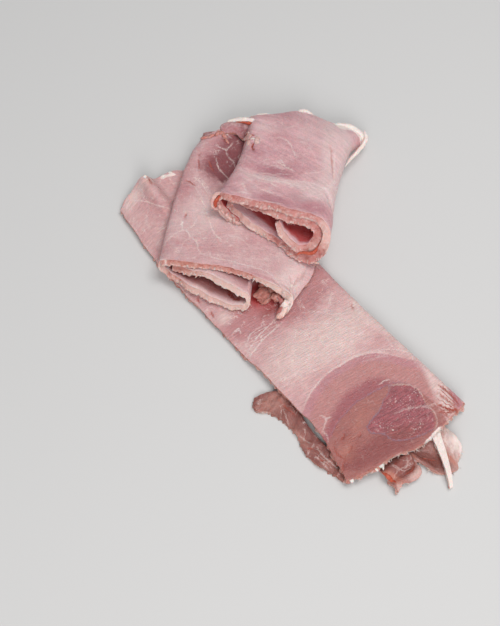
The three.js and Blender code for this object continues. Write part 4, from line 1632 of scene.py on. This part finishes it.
# %% Rags behind the slices
rag(
    "top_slice_rear_rag", TOP,
    [(-23.5, 64, 16), (-20, 60.5, 15.4), (-14, 62.5, 15.6), (-8, 59.5, 15.2), (-2, 62, 15.6)],
    [(-23.5, 65.8, 16.3), (-19.5, 69, 17.6), (-12, 71, 18.6), (-3, 71.7, 19.4)],
    81, rosy=[(1.0, 12, 4, 14, 5)], deep=[(1.0, 3, 4, 6, 6)], hollow=0.1,
)
swept(
    "top_slice_rear_rag_fat",
    on(TOP, (-20.5, 68.6, 17.6), (-16, 70.4, 18.8), (-10, 71.6, 20.2), (-3, 72, 20.8)),
    (0.7, 1.4, 1.8, 1.4), (0.6, 1.0, 1.2, 0.9), fat_white, 26,
)
# A raw red strip in the slit between the rag and its fat: torn meat and painted shade.
swept(
    "top_slice_rear_rag_shaded_gap",
    on(TOP, (-15, 69.2, 18.8), (-11, 69.6, 19.6), (-7, 69.4, 20.2), (-3.5, 69, 20.6)),
    (0.2, 0.5, 0.9, 0.8), (0.3, 0.6, 0.9, 0.8), raw_ham, 30,
)
rag(
    "middle_slice_rear_rag", MIDDLE,
    [(-3.5, 93, 15), (0, 95, 15.2), (4, 97, 15.4), (9, 98.5, 15.4)],
    [(-8.6, 100, 13.4), (-5, 102.6, 13.8), (0.4, 104.6, 14.4), (6, 104.8, 15)],
    82, tan=[(1.0, 8, 9, 8, 2)], rosy=[(0.8, 8, 3, 8, 4)], hollow=0.3,
)

# %% Tears, corners and lumps
torn_bits("middle_slice_rear_tear", middle_sheet, [
    (83, 100.9, 0.0, (3.4, 1.2, 0.8), 5, 91),
    (79.5, 100.6, 0.1, (2.8, 1.5, 0.8), 20, 92),
    (75.5, 101.2, 0.0, (2.4, 1.6, 0.9), 60, 93),
    (72, 99.6, 0.1, (2.8, 1.1, 0.8), 40, 94),
    (68.5, 96.6, 0.1, (3.4, 0.9, 0.6), 48, 95),
    (64.8, 92.4, 0.0, (2.6, 0.7, 0.5), 52, 96),
], tear_ham)
torn_bits("middle_slice_right_shreds", middle_sheet, [
    (2.0, 34, 0.6, (2.6, 0.8, 0.6), 30, 61),
    (1.0, 31.5, 0.2, (2.2, 0.7, 0.5), -15, 62),
], shred_meat)
torn_bits("top_slice_lip_shreds", top_sheet, [
    (1.0, 1.5, -1.0, (2.6, 1.2, 0.9), 20, 63),
    (4.0, 0.3, -1.4, (2.0, 1.0, 0.8), -10, 64),
    (9.0, 0.2, -1.2, (2.2, 1.0, 0.8), 0, 65),
    (14, 0.4, -1.0, (1.8, 0.9, 0.8), 10, 66),
    (6.5, 1.0, -1.6, (1.0, 2.0, 0.8), 0, 67),
    (11.5, 0.8, -1.8, (0.9, 1.8, 0.8), 20, 68),
    (18.5, 0.4, -1.3, (1.6, 1.2, 0.7), -15, 69),
], curl_ham)
torn_bits("top_slice_tear", top_sheet, [
    (7.5, 52.5, 0.1, (4.0, 2.4, 0.7), 12, 31),
    (13, 51, 0.0, (1.6, 3.0, 0.6), 10, 32),
    (6.5, 57, 0.2, (3.4, 1.8, 0.7), -20, 33),
    (8.5, 47.5, 0.0, (1.6, 3.0, 0.5), 5, 34),
], curl_ham, level=4)
swept(
    "top_slice_tear_gap", over(top_sheet, (3.5, 55.2, 0.5), (7, 55, 0.5), (10.5, 54.6, 0.2)),
    (0.3, 0.6, 0.3), (0.4, 0.7, 0.4), raw_ham, 29,
)
swept(
    "thin_slice_torn_edge",
    over(thin_sheet, (64.5, 16, -0.3), (66, 11, 0), (67.2, 6.5, 0), (67.8, 3, -0.3)),
    (0.5, 1.2, 1.1, 0.5), (0.4, 0.8, 0.7, 0.4), raw_ham, 45,
)
swept(
    "middle_slice_corner",
    on(MIDDLE, (70.8, 8, 10.6), (73, 3, 9.9), (72.6, -2, 9.2), (70.6, -6.5, 8.4), (68.6, -9, 7.8)),
    (1.0, 1.8, 2.3, 2.1, 1.4), (0.9, 1.2, 1.4, 1.2, 0.9), shred_meat, 41,
)
swept(
    "middle_slice_corner_inside",
    on(MIDDLE, (64, 4.5, 10), (68, 2.2, 9.8), (70, -1, 9.3), (69.6, -4.5, 8.6), (68.4, -7.5, 8)),
    (0.8, 1.4, 1.7, 1.5, 0.9), (0.9, 1.2, 1.4, 1.2, 0.8), torn_ham, 42, hollow=0.35,
)
torn_bits("base_slice_rear_fat", base_sheet, [
    (43.5, 226, -0.4, (1.5, 1.0, 0.9), 10, 51),
    (49.5, 226, -0.6, (1.4, 1.0, 0.9), -20, 52),
    (46.5, 226.4, -1.0, (1.6, 0.7, 0.6), 0, 53),
    (28.5, 226, -0.2, (1.3, 0.9, 0.9), 0, 54),
], fat_white)
torn_bits("middle_slice_lump", base_sheet, [
    (33.5, 119.5, 1.8, (6.4, 4.2, 3.0), 10, 3),
    (39, 118.5, 2.4, (2.8, 3.2, 2.6), 40, 8),
    (40, 125, 3.2, (5.0, 3.4, 3.2), 20, 14),
    (34, 116.2, 0.9, (5.2, 1.6, 1.2), 8, 12),
], lump_ham, level=4, hollow=0.35)
torn_bits("middle_slice_lump_edge", base_sheet, [
    (38, 113.5, 2.8, (3.6, 3.2, 2.8), 30, 21),
    (42, 110, 3.0, (3.4, 2.8, 2.8), 20, 24),
], lump_ham, level=4, hollow=0.12)
torn_bits("base_slice_sinews", base_sheet, [
    (21, 1.5, -1.2, (1.2, 2.4, 0.5), 0, 5),
    (23, 0.5, -1.6, (0.9, 2.8, 0.4), -20, 6),
    (18.5, 0.8, -1.6, (0.6, 2.0, 0.4), 15, 7),
    (4, 1.0, -1.2, (1.2, 1.8, 0.5), 0, 9),
], fat_white)

# %% [markdown]
# ## Sizes and the end
# The sizes of the finished heap and of its solid model are printed side by side. The finished
# heap has to be as large as its solid model.

# %% The sizes side by side
visual_box = [list(corner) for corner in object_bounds()]
for name, box in (("solid model", cad_box), ("finished heap", visual_box)):
    print(name, [round((high - low) / MM, 1) for low, high in zip(*box)], "mm")
